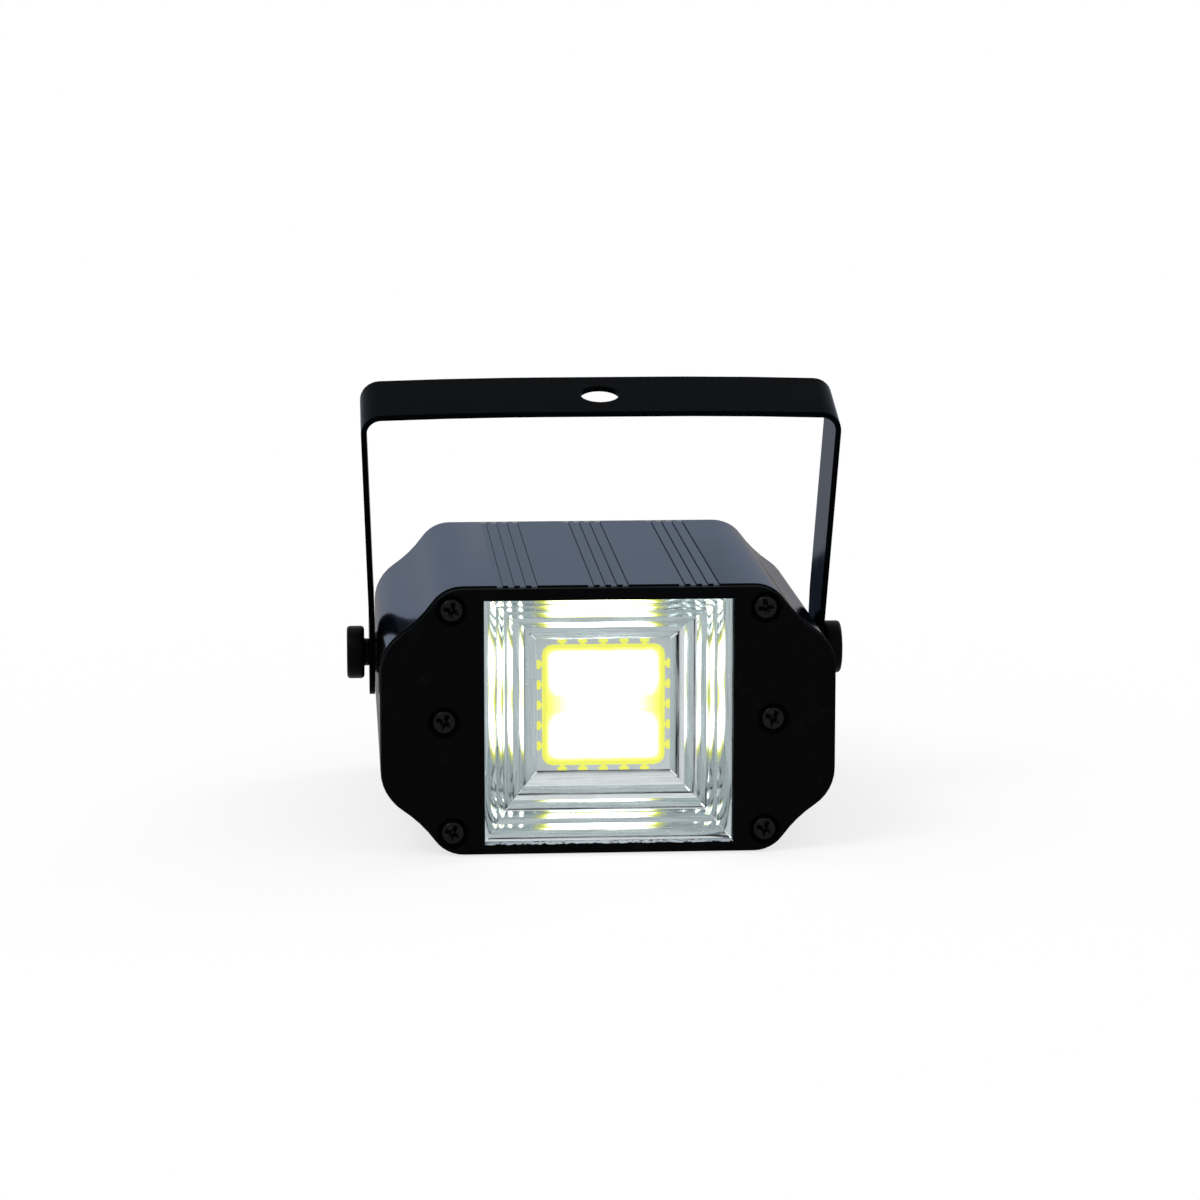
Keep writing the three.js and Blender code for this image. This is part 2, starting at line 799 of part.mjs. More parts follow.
function yoke() {
  const outer = stripPoints(0);
  const inner = stripPoints(stripThickness);
  const mirrored = (points) => points.map((point) => new THREE.Vector2(-point.x, point.y)).reverse();
  const strip = new THREE.Shape([
    ...outer,
    ...mirrored(outer),
    ...mirrored(inner).reverse(),
    ...inner.reverse(),
  ]);
  const bar = toSolid(extrudeAlongY(strip, -stripWidth / 2, stripWidth));
  const sidePoints = [
    new THREE.Vector2(stripWidth / 2, bandReach + cutMargin),
    new THREE.Vector2(-stripWidth / 2, bandReach + cutMargin),
  ];
  addArc(sidePoints, new THREE.Vector2(), stripWidth / 2, Math.PI, 2 * Math.PI, endSteps, 0);
  const reach = bendOuterHalf + cutMargin;
  const sideView = extrudeAlongX(new THREE.Shape(sidePoints), -reach, 2 * reach);
  const bores = joined([
    rodAlongX(studBoreRadius, -reach, reach, 0, 0, studSides),
    rodAlongZ(
      bandHoleRadius,
      bandReach - stripThickness - cutMargin,
      bandReach + cutMargin,
      0,
      0,
      bandHoleSides,
    ),
  ]);
  const body = toGeometry(bar.intersect(toSolid(sideView)).subtract(bores));
  return body.rotateX(yokeLean).translate(0, 0, pivotZ);
}

// Pieces of the right-hand side; the left ones are the same turned half round
function onSide(geometry, side) {
  if (side < 0) {
    geometry.rotateZ(Math.PI);
  }
  return geometry.translate(0, 0, pivotZ);
}

function thumbKnob(side) {
  const start = armOuterHalf;
  const drum = start + knobNeckWidth;
  const end = drum + knobWidth;
  const profile = [
    new THREE.Vector2(0, end - knobFace),
    new THREE.Vector2(studBoreRadius, end - knobFace),
    new THREE.Vector2(studBoreRadius, start),
    new THREE.Vector2(knobNeckRadius, start),
    new THREE.Vector2(knobNeckRadius, drum),
  ];
  const inner = new THREE.Vector2(knobRadius - knobEdge, drum + knobEdge);
  const outer = new THREE.Vector2(knobRadius - knobEdge, end - knobEdge);
  addArc(profile, inner, knobEdge, -Math.PI / 2, 0, knobEdgeSteps, 0);
  addArc(profile, outer, knobEdge, 0, Math.PI / 2, knobEdgeSteps, 0);
  profile.push(new THREE.Vector2(0, end));
  return onSide(new THREE.LatheGeometry(profile, knobSides).rotateZ(-Math.PI / 2), side);
}

function thumbStud(side) {
  const end = armOuterHalf + knobNeckWidth + knobWidth - knobFace;
  return onSide(rodAlongX(studRadius, studInnerEnd, end, 0, 0, studSides), side);
}

function washer(side) {
  const ring = circlePath(0, 0, washerRadius, turnedSides, THREE.Shape);
  ring.holes.push(circlePath(0, 0, studBoreRadius, studSides));
  return onSide(extrudeAlongX(ring, housingHalfWidth, washerThickness), side);
}

function sideNut(side) {
  const hexagon = hexagonShape(sideNutFlats, 0, 0);
  hexagon.holes.push(circlePath(0, 0, studBoreRadius, studSides));
  return onSide(extrudeAlongX(hexagon, cavityHalfWidth - sideNutThickness, sideNutThickness), side);
}

// Driver board and its components

// Place on the board as a share of its length, counted from the front
function boardY(share) {
  return boardFront + boardLength * share;
}

function driverBoard() {
  const outline = rectangleShape(
    -boardHalfWidth,
    boardFront,
    boardHalfWidth,
    boardFront + boardLength,
  );
  return extrudeAlongZ(outline, boardZ, boardThickness);
}

function boardCapacitor() {
  const can = turned([
    [0, 0],
    [capacitorRadius, 0],
    [capacitorRadius, capacitorHeight - capacitorEdge],
    [capacitorRadius - capacitorEdge, capacitorHeight],
    [0, capacitorHeight],
  ], componentSides);
  return can.rotateX(Math.PI / 2).translate(capacitorX, boardY(capacitorShare), boardTop);
}

function boardInductor() {
  const drum = turned([
    [0, 0],
    [inductorRadius, 0],
    [inductorRadius, inductorCheek],
    [inductorWaist, inductorCheek],
    [inductorWaist, inductorHeight - inductorCheek],
    [inductorRadius, inductorHeight - inductorCheek],
    [inductorRadius, inductorHeight],
    [0, inductorHeight],
  ], componentSides);
  return drum.rotateX(Math.PI / 2).translate(inductorX, boardY(inductorShare), boardTop);
}

function boardTransistor() {
  const half = transistorWidth / 2;
  const tabBack = boardY(transistorShare);
  const bodyStart = boardTop + transistorLegHeight;
  const tabFront = tabBack - transistorTabThickness;
  const pieces = [
    extrudeAlongZ(
      rectangleShape(-half, tabFront, half, tabFront + transistorDepth),
      bodyStart,
      transistorBodyHeight,
    ),
    extrudeAlongZ(
      rectangleShape(-half, tabFront, half, tabBack),
      bodyStart,
      transistorTabHeight,
    ),
  ];
  for (let leg = 0; leg < transistorLegCount; leg += 1) {
    const x = (leg - (transistorLegCount - 1) / 2) * transistorLegPitch;
    pieces.push(extrudeAlongZ(
      rectangleShape(
        x - transistorLegHalf,
        tabBack,
        x + transistorLegHalf,
        tabBack + transistorLegHalf,
      ),
      boardTop,
      transistorLegHeight + transistorLegHalf,
    ));
  }
  return toGeometry(joined(pieces));
}

function boardController() {
  const half = controllerWidth / 2;
  const section = new THREE.Shape([
    new THREE.Vector2(controllerX - half, boardTop),
    new THREE.Vector2(controllerX + half, boardTop),
    new THREE.Vector2(controllerX + half - controllerSlope, boardTop + controllerHeight),
    new THREE.Vector2(controllerX - half + controllerSlope, boardTop + controllerHeight),
  ]);
  return extrudeAlongY(section, boardY(controllerShare), controllerLength);
}

function boardTerminal() {
  const top = boardTop + terminalHeight;
  const front = terminalY - terminalDepth / 2;
  const back = terminalY + terminalDepth / 2;
  const section = new THREE.Shape([
    new THREE.Vector2(front, boardTop),
    new THREE.Vector2(back, boardTop),
    new THREE.Vector2(back, top),
    new THREE.Vector2(front + terminalStepDepth, top),
    new THREE.Vector2(front, top - terminalStepHeight),
  ]);
  const block = toSolid(extrudeAlongX(section, terminalX - terminalWidth / 2, terminalWidth));
  const holes = [];
  for (let way = 0; way < terminalWays; way += 1) {
    const x = terminalX + (way - (terminalWays - 1) / 2) * terminalPitch;
    const holeY = (front + terminalStepDepth + back) / 2;
    const entryZ = boardTop + terminalHoleRadius + terminalSill;
    holes.push(rodAlongZ(
      terminalHoleRadius,
      top - terminalHoleDepth / 2,
      top + cutMargin,
      x,
      holeY,
      screwSides,
    ));
    holes.push(rodAlongY(
      terminalHoleRadius,
      front - cutMargin,
      front + terminalHoleDepth,
      x,
      entryZ,
      screwSides,
    ));
  }
  return toGeometry(block.subtract(joined(holes)));
}

// Controls and inlet of the rear plate

function speedPot() {
  const bushingEnd = tubeBack + potBushingLength;
  const body = turned([
    [0, potBack],
    [potRadius, potBack],
    [potRadius, tubeBack],
    [potBushingRadius, tubeBack],
    [potBushingRadius, bushingEnd],
    [potShaftRadius + fitGap, bushingEnd],
    [potShaftRadius + fitGap, tubeBack - potShaftSeat - fitGap],
    [0, tubeBack - potShaftSeat - fitGap],
  ], turnedSides);
  return body.translate(potX, 0, panelZ);
}

function potShaft() {
  return rodAlongY(potShaftRadius, tubeBack - potShaftSeat, dialBoreEnd, potX, panelZ, studSides);
}

function potNut() {
  const hexagon = hexagonShape(potNutFlats, potX, panelZ);
  hexagon.holes.push(circlePath(potX, panelZ, potBushingRadius + fitGap, turnedSides));
  return extrudeAlongY(hexagon, plateBack, potNutThickness);
}

// Ribbed knob, hollow at the back over the nut, with one pointer groove on its face
function speedKnob() {
  const back = plateBack + dialBackGap;
  const outline = [];
  for (let rib = 0; rib < dialRibs; rib += 1) {
    for (const share of [...ribTopShares, ...ribValleyShares]) {
      const angle = (2 * Math.PI * (rib + share)) / dialRibs;
      const radius = ribTopShares.includes(share) ? dialRadius : dialRadius - dialRibDepth;
      outline.push(new THREE.Vector2(
        potX + radius * Math.cos(angle),
        panelZ + radius * Math.sin(angle),
      ));
    }
  }
  const body = toSolid(extrudeAlongY(new THREE.Shape(outline), back, dialFront - back));
  const recessEnd = tubeBack + potBushingLength + dialRecessSpare;
  const mark = rectangleShape(
    potX - dialMarkHalf,
    panelZ,
    potX + dialMarkHalf,
    panelZ + dialRadius + cutMargin,
  );
  const cuts = joined([
    rodAlongY(dialRecessRadius, back - cutMargin, recessEnd, potX, panelZ, turnedSides),
    rodAlongY(potShaftRadius + fitGap, back, dialBoreEnd, potX, panelZ, studSides),
    extrudeAlongY(mark, dialFront - dialMarkDepth, dialMarkDepth + cutMargin),
  ]);
  return toGeometry(body.subtract(cuts));
}

function powerInlet() {
  const face = plateBack + inletFlangeThickness;
  const socketEnd = face - inletSocketDepth;
  const body = turned([
    [0, inletBack],
    [inletRadius, inletBack],
    [inletRadius, plateBack],
    [inletFlangeRadius, plateBack],
    [inletFlangeRadius, face - inletEdge],
    [inletFlangeRadius - inletEdge, face],
    [inletSocketRadius, face],
    [inletSocketRadius, socketEnd],
    [inletPinRadius, socketEnd],
    [inletPinRadius, face - inletPinRecess],
    [0, face - inletPinRecess],
  ], turnedSides);
  return body.translate(0, 0, panelZ);
}

function inletNut() {
  const hexagon = hexagonShape(inletNutFlats, 0, panelZ);
  hexagon.holes.push(circlePath(0, panelZ, inletRadius + fitGap, turnedSides));
  return extrudeAlongY(hexagon, tubeBack - inletNutThickness, inletNutThickness);
}

function switchBody() {
  const body = extrudeAlongY(
    rectangleShape(
      switchX - switchHalfWidth,
      panelZ - switchHalfHeight,
      switchX + switchHalfWidth,
      panelZ + switchHalfHeight,
    ),
    switchBack,
    switchDepth + bezelThickness / 2,
  );
  const bezel = extrudeAlongY(
    rectangleShape(
      switchX - bezelHalfWidth,
      panelZ - bezelHalfHeight,
      switchX + bezelHalfWidth,
      panelZ + bezelHalfHeight,
    ),
    plateBack,
    bezelThickness,
  );
  const pocket = extrudeAlongY(
    rectangleShape(
      switchX - rockerHalfWidth - fitGap,
      panelZ - rockerRadius - fitGap,
      switchX + rockerHalfWidth + fitGap,
      panelZ + rockerRadius + fitGap,
    ),
    plateBack + bezelThickness - rockerPocketDepth,
    rockerPocketDepth + cutMargin,
  );
  return toGeometry(joined([body, bezel]).subtract(toSolid(pocket)));
}

// Rocker about its pivot: two sloping faces above, round ends, flat keel below
function switchRocker() {
  const faceEnd = Math.acos((rockerPeak * Math.cos(rockerTilt)) / rockerRadius) - rockerTilt;
  const keelStart = Math.acos(-rockerKeel / rockerRadius);
  const outline = [new THREE.Vector2(rockerPeak, 0)];
  const pivot = new THREE.Vector2();
  addArc(outline, pivot, rockerRadius, faceEnd, keelStart, rockerSteps, 0);
  addArc(outline, pivot, rockerRadius, -keelStart, -faceEnd, rockerSteps, 0);
  const rocker = extrudeAlongX(new THREE.Shape(outline), -rockerHalfWidth, 2 * rockerHalfWidth);
  const pivotY = plateBack + bezelThickness - rockerPeak;
  return rocker.rotateX(rockerTilt).translate(switchX, pivotY, panelZ);
}

// Leads

function lead(corners, steps) {
  const path = new THREE.CatmullRomCurve3(corners.map(([x, y, z]) => new THREE.Vector3(x, y, z)));
  const section = circlePath(0, 0, leadRadius, leadSides, THREE.Shape);
  return new THREE.ExtrudeGeometry(section, { steps, extrudePath: path });
}

function ledLead(side) {
  const front = ledBaseFront - fitGap - leadRadius;
  const z = middleZ + ledPadZ;
  const down = boardTop + fitGap;
  return lead([
    [side * ledPadX, front, z],
    [side * (ledPadX + leadEnd), front, z],
    [side * ledLeadSide, front, z],
    [side * ledLeadSide, sinkFront, z],
    [side * ledLeadSide, sinkBaseBack + leadEnd, z],
    [side * ledLeadSide, boardFront - ledLeadLap, z],
    [side * ledLeadSide, boardFront + ledLeadLap, z - 2 * leadEnd],
    [side * ledLeadSide, boardFront + ledLeadLap, down + leadEnd],
    [side * ledLeadSide, boardFront + ledLeadLap, down],
  ], ledLeadSteps);
}

// Lead from a fitting of the rear plate forwards and down to the board
function panelLead(x, start, z) {
  const down = boardTop + fitGap;
  return lead([
    [x, start - fitGap, z],
    [x, start - fitGap - leadEnd, z],
    [x, start - fitGap - panelLeadReach, z - leadEnd],
    [x, start - fitGap - panelLeadReach, down + leadEnd],
    [x, start - fitGap - panelLeadReach, down],
  ], panelLeadSteps);
}

function inletLead() {
  return panelLead(0, inletBack, panelZ);
}

function switchLead() {
  return panelLead(switchX, switchBack, panelZ);
}

function potLead() {
  return panelLead(potX, potBack, panelZ);
}

function groundLead() {
  return panelLead(groundLeadX, tubeBack, groundLeadZ);
}

// Materials

function surface(color, roughness, metalness) {
  return new THREE.MeshStandardMaterial({ color, roughness, metalness });
}

function blackPaint() {
  return surface(0x17181a, 0.34, 0.25);
}

function yokePaint() {
  return surface(0x1b1c1f, 0.38, 0.25);
}

function blackSteel() {
  return surface(0x1f2022, 0.4, 0.6);
}

function knobPlastic() {
  return surface(0x121314, 0.3, 0);
}

function mirrorCoat() {
  return surface(0xc9ccd0, 0.08, 1);
}

function paleCeramic() {
  return surface(0xd8d6c9, 0.5, 0);
}

function litPhosphor() {
  const material = surface(0xfff3b8, 0.5, 0);
  material.emissive = new THREE.Color(0xfff0b0);
  return material;
}

function bareAluminium() {
  return surface(0xb4b7ba, 0.42, 0.9);
}

function zincSteel() {
  return surface(0xa6a8aa, 0.35, 0.9);
}

function boardLaminate() {
  return surface(0x1d5b36, 0.45, 0);
}

function moulding() {
  return surface(0x161718, 0.5, 0);
}

function ferrite() {
  return surface(0x3a3a3c, 0.6, 0.1);
}

function terminalPlastic() {
  return surface(0x2c6b45, 0.4, 0);
}

function redLead() {
  return surface(0x9e1f1c, 0.5, 0);
}

function blackLead() {
  return surface(0x1a1a1a, 0.5, 0);
}

function greenLead() {
  return surface(0x3f7a2c, 0.5, 0);
}

// Assembly

const strobeLight = new THREE.Group();
strobeLight.name = "strobe_light";

function place(name, geometry, material) {
  const piece = new THREE.Mesh(geometry, material);
  piece.name = name;
  strobeLight.add(piece);
}

place("housing_shell", housingShell(), blackPaint());
place("front_plate", frontPlate(), blackPaint());
place("rear_plate", rearPlate(), blackPaint());
plateScrewSpots().forEach((spot, index) => {
  place(`front_screw_${index + 1}`, frontScrew(spot), blackSteel());
  place(`rear_screw_${index + 1}`, rearScrew(spot), blackSteel());
});
place("reflector", reflector(), mirrorCoat());
place("led_frame", ledFrame(), paleCeramic());
place("led_phosphor", ledPhosphor(), litPhosphor());
place("led_base", ledBase(), bareAluminium());
place("heat_sink", heatSink(), bareAluminium());
moduleScrewSpots().forEach((spot, index) => {
  place(`module_screw_${index + 1}`, moduleScrew(spot), zincSteel());
});
place("yoke", yoke(), yokePaint());
for (const [label, side] of [["left", -1], ["right", 1]]) {
  place(`thumb_knob_${label}`, thumbKnob(side), knobPlastic());
  place(`thumb_stud_${label}`, thumbStud(side), zincSteel());
  place(`washer_${label}`, washer(side), blackSteel());
  place(`side_nut_${label}`, sideNut(side), zincSteel());
}
place("driver_board", driverBoard(), boardLaminate());
place("board_capacitor", boardCapacitor(), moulding());
place("board_inductor", boardInductor(), ferrite());
place("board_transistor", boardTransistor(), moulding());
place("board_controller", boardController(), moulding());
place("board_terminal", boardTerminal(), terminalPlastic());
place("speed_pot", speedPot(), zincSteel());
place("pot_shaft", potShaft(), zincSteel());
place("pot_nut", potNut(), zincSteel());
place("speed_knob", speedKnob(), knobPlastic());
place("power_inlet", powerInlet(), moulding());
place("inlet_nut", inletNut(), zincSteel());
place("switch_body", switchBody(), moulding());
place("switch_rocker", switchRocker(), moulding());
place("led_lead_positive", ledLead(1), redLead());
place("led_lead_negative", ledLead(-1), blackLead());
place("inlet_lead", inletLead(), redLead());
place("switch_lead", switchLead(), redLead());
place("ground_lead", groundLead(), greenLead());
place("pot_lead", potLead(), blackLead());

export default strobeLight;
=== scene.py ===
import json
import math

import bmesh
import bpy
from mathutils import Matrix, Vector
from mathutils.bvhtree import BVHTree

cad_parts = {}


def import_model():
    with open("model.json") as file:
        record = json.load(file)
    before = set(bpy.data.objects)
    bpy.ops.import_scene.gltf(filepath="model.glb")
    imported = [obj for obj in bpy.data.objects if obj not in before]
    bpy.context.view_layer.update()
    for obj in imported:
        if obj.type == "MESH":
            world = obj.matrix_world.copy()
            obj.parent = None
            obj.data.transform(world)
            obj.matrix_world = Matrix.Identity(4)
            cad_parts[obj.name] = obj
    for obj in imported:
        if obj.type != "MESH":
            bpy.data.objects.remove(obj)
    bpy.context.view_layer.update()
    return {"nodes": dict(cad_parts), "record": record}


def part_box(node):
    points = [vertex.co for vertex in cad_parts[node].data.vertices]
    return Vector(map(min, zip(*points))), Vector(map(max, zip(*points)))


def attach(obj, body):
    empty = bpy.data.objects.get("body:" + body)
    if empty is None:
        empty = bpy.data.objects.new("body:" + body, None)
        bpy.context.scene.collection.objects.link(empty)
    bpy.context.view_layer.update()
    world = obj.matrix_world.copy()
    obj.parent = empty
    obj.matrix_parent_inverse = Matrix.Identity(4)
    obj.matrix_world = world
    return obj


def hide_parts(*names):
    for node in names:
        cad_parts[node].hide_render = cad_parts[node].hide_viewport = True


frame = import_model()

# Sizes in metres, read from the frame where the solids give them
MM = 0.001
front_low, front_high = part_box("front_plate")
_, rear_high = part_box("rear_plate")
middle_z = (front_low.z + front_high.z) / 2
plate_back = front_high.y

# Meshes: what counts as one point, as flat and as a sharp edge, and how edges are rounded
merge_distance = 0.002 * MM
flat_angle = math.radians(0.4)
crease_angle = math.radians(28)
facet_crease = math.radians(9)
lead_crease = math.radians(50)
edge_round = 0.12 * MM
knob_round = 0.8 * MM
thin_edge_round = 0.08 * MM
round_segments = 3

# The reflector's walls: half widths and depths of the steps, and how far each facet bows inwards
bowl_halves = tuple(half * MM for half in (25.2, 22.6, 20.76, 18.98, 16.62, 13.8))
bowl_depths = tuple(depth * MM for depth in (0, 4.36, 8.39, 10.6, 12.94, 15.1))
bowl_bows = tuple(bow * MM for bow in (0.27, 0.33, 0.1, 0.11, 0.04))
bowl_steps = 14
bowl_skin = 0.03 * MM
mitre_angle = math.radians(60)
mitre_round = 0.16 * MM
mitre_segments = 2

# Tabs at the bowl's base corners
tab_length = 1.9 * MM
tab_width = 0.5 * MM
tab_height = 0.35 * MM
tab_inset = 0.7 * MM

# The front plate's opening: its lower edge, where the paint has come off up to near its back
opening_half = bowl_halves[0]
opening_bottom = middle_z - 25.11 * MM
worn_height = 0.2 * MM
worn_back_margin = 0.3 * MM

# The lit square, measured from its middle: where the glow fades out towards the border, and the
# darker band between its two hot rows
lit_fade = (9.2 * MM, 12 * MM)
lit_wander = 0.12 * MM
band_height = (1.2 * MM, 6.2 * MM)
band_width = (2.5 * MM, 9.5 * MM)
chip_pitch = 1.42 * MM

# The speed dial's scale and the marks on the back
dial_low, dial_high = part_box("speed_knob")
rocker_low, rocker_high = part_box("switch_rocker")
inlet_low, inlet_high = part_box("power_inlet")
dial_radius = (dial_high.x - dial_low.x) / 2
dial_x = (dial_low.x + dial_high.x) / 2
dial_z = (dial_low.z + dial_high.z) / 2
dial_range = math.radians(300)
dial_numbers = 11
tick_gap = 0.7 * MM
tick_length = 0.9 * MM
tick_width = 0.28 * MM
number_size = 2.1 * MM
number_gap = 3 * MM
number_curve_steps = 4
mark_height = 0.04 * MM
drop_height = 20 * MM
pointer_width = 0.55 * MM
pointer_length = 0.5 * dial_radius
pointer_inset = 0.22 * dial_radius
on_mark_width = 0.35 * MM
on_mark_length = 2 * MM
off_ring_radius = 1.05 * MM
off_ring_inner_share = 0.68
off_ring_sides = 28
rocker_mark_share = 0.26
inlet_pin_radius = 1.5 * MM

# Pan-head screws with a cross recess; the crown's points are shares of head radius and height
head_radius = 2.6 * MM
head_height = 1.35 * MM
crown_rim = 0.3
crown_profile = (
    (0, 1), (0.35, 0.985), (0.6, 0.93), (0.8, 0.8), (0.92, 0.6), (1, crown_rim), (1, 0),
)
crown_upward = 0.3
shank_radius = 1.5 * MM
thread_root = 1.24 * MM
thread_pitch = 0.5 * MM
tip_share = 0.8
screw_sides = 32
cross_reach = 1.75 * MM
cross_half = 0.47 * MM
cross_depth = 1.35 * MM
cross_floor_share = 0.22
cross_floor_relief = 0.3

# How far each screw's recess is turned, in degrees; the front ones as in the photo
front_turns = (-15, 10, -24, -26, -22, -20)
rear_turns = (-45, 41, -50, -45, -22, -5)
module_turns = (0, 31, 62, 93)


# Node helpers

noise_reach = (0.3, 0.7)
speck_full = 0.74
bump_strength = 0.4

# The Mix node's colour sockets go by number, because its other kinds use the same names
mix_first, mix_second, mix_result = 6, 7, 2


def new_material(name):
    """A material with its node tree and its Principled shader."""
    material = bpy.data.materials.new(name)
    material.use_nodes = True
    tree = material.node_tree
    return material, tree, tree.nodes["Principled BSDF"]


def object_place(tree, scale=(1, 1, 1)):
    """Object coordinates, stretched by a Mapping node."""
    place = tree.nodes.new("ShaderNodeTexCoord")
    mapping = tree.nodes.new("ShaderNodeMapping")
    mapping.inputs["Scale"].default_value = scale
    tree.links.new(place.outputs["Object"], mapping.inputs["Vector"])
    return mapping.outputs["Vector"]


def object_parts(tree):
    """Object coordinates as they are, and their X, Y and Z."""
    place = tree.nodes.new("ShaderNodeTexCoord").outputs["Object"]
    parts = tree.nodes.new("ShaderNodeSeparateXYZ")
    tree.links.new(place, parts.inputs["Vector"])
    return place, parts.outputs


def noise(tree, place, scale, detail=3, roughness=0.55):
    """Fractal noise; scale is in cycles per metre."""
    texture = tree.nodes.new("ShaderNodeTexNoise")
    texture.inputs["Scale"].default_value = scale
    texture.inputs["Detail"].default_value = detail
    texture.inputs["Roughness"].default_value = roughness
    tree.links.new(place, texture.inputs["Vector"])
    return texture.outputs["Fac"]


def ranged(tree, value, low, high, to_low, to_high, smooth=False):
    """Maps a value from one range to another and keeps it inside."""
    node = tree.nodes.new("ShaderNodeMapRange")
    if smooth:
        node.interpolation_type = "SMOOTHSTEP"
    for socket, number in zip(
        ("From Min", "From Max", "To Min", "To Max"), (low, high, to_low, to_high)
    ):
        node.inputs[socket].default_value = number
    tree.links.new(value, node.inputs["Value"])
    return node.outputs["Result"]


def spread(tree, value, low, high):
    """Maps the range that a noise mostly keeps to, to another."""
    return ranged(tree, value, *noise_reach, low, high)


def specks(tree, place, scale, onset):
    """1 in small scattered specks and 0 elsewhere."""
    return ranged(tree, noise(tree, place, scale, 2), onset, speck_full, 0, 1)


def shaded(colour, share):
    """A colour made darker or lighter by a share."""
    return tuple(share * part for part in colour)


def mixed(tree, share, first, second):
    """Mixes two colours by a share; each is a colour or a socket."""
    node = tree.nodes.new("ShaderNodeMix")
    node.data_type = "RGBA"
    tree.links.new(share, node.inputs["Factor"])
    for socket, colour in ((mix_first, first), (mix_second, second)):
        if isinstance(colour, tuple):
            node.inputs[socket].default_value = (*colour, 1)
        else:
            tree.links.new(colour, node.inputs[socket])
    return node.outputs[mix_result]


def mixed_value(tree, share, first, second):
    """A value that goes from the first to the second as the share goes from 0 to 1."""
    node = tree.nodes.new("ShaderNodeMix")
    tree.links.new(share, node.inputs["Factor"])
    for socket, value in (("A", first), ("B", second)):
        if isinstance(value, (int, float)):
            node.inputs[socket].default_value = value
        else:
            tree.links.new(value, node.inputs[socket])
    return node.outputs["Result"]


def bump(tree, shader, height, distance):
    """Adds relief of a given depth to a shader."""
    node = tree.nodes.new("ShaderNodeBump")
    node.inputs["Strength"].default_value = bump_strength
    node.inputs["Distance"].default_value = distance
    tree.links.new(height, node.inputs["Height"])
    tree.links.new(node.outputs["Normal"], shader.inputs["Normal"])


def worked(tree, operation, first, second=None):
    """One step of arithmetic; each value is a number or a socket."""
    node = tree.nodes.new("ShaderNodeMath")
    node.operation = operation
    for socket, value in zip(node.inputs, (first, second)):
        if value is None:
            continue
        if isinstance(value, (int, float)):
            socket.default_value = value
        else:
            tree.links.new(value, socket)
    return node.outputs["Value"]


def away_from(tree, value, level):
    """How far a value lies from a level."""
    return worked(tree, "ABSOLUTE", worked(tree, "SUBTRACT", value, level))


def seen_rays(tree):
    """1 for the rays that see the background: straight, in gloss and through clear pieces."""
    paths = tree.nodes.new("ShaderNodeLightPath")
    gloss = worked(tree, "MAXIMUM", paths.outputs["Is Camera Ray"], paths.outputs["Is Glossy Ray"])
    return worked(tree, "MAXIMUM", gloss, paths.outputs["Is Transmission Ray"])


# Finishes; noise scales are in cycles per metre

worn_scale = 1100
worn_onset = (0.42, 0.6)
worn_metal = (0.5, 0.52, 0.54)

paint_cloud_scale = 55
paint_cloud_shade = 1.3
dust_scale = 2600
dust_onset = 0.69
rub_scale = 160
rub_onset = (0.6, 0.78)
rub_most = 0.35
rub_dulling = 0.15
lacquer_roughness = 0.2
orange_peel_scale = 1500
orange_peel_depth = 0.0015 * MM

metal_line_scale = 900
metal_cloud_scale = 120
metal_cloud_shade = 0.72
metal_relief = 0.004 * MM

moulding_cloud_scale = 90
moulding_cloud_shade = 0.7
moulding_relief = 0.008 * MM

coat_line_scale = 2600
coat_line_stretch = 0.03
coat_line_reach = (0.38, 0.62)
coat_roughness = (0.05, 0.17)
coat_haze_scale = 260
coat_haze_shade = 0.86
coat_streak_onset = (0.35, 0.5)
coat_streak_most = 0.35
coat_streak_shade = 0.5
coat_speck_scale = 2400
coat_speck_onset = 0.7
coat_speck_dulling = 0.3

lit_wander_scale = 300
lit_grain_scale = 900
lit_grain_depth = 0.02 * MM
lit_roughness = 0.45
band_levels = (0.45, 0.11)
chip_levels = (0.85, 1.3)
white_heat = 0.7
glow_yellow = (0.97, 1.0, 0.15)
glow_white = (0.94, 0.96, 1.0)
glow_most = 8.5
glow_least = 0.72
# The layer's own yellow, and a paler colour painted where it glows hot (painted glow)
layer_yellow = (0.2, 0.2, 0.01)
painted_glow_colour = (0.6, 0.6, 0.4)


def worn_edge(tree):
    """1 along the lower edge of the front plate's opening, broken up unevenly."""
    place, parts = object_parts(tree)
    rise = away_from(tree, parts["Z"], opening_bottom)
    rough = ranged(tree, noise(tree, place, worn_scale, 3, 0.7), *worn_onset, 0, worn_height)
    near = worked(tree, "LESS_THAN", rise, rough)
    across = worked(tree, "LESS_THAN", worked(tree, "ABSOLUTE", parts["X"]), opening_half)
    ahead = worked(tree, "LESS_THAN", parts["Y"], front_high.y - worn_back_margin)
    return worked(tree, "MULTIPLY", near, worked(tree, "MULTIPLY", across, ahead))


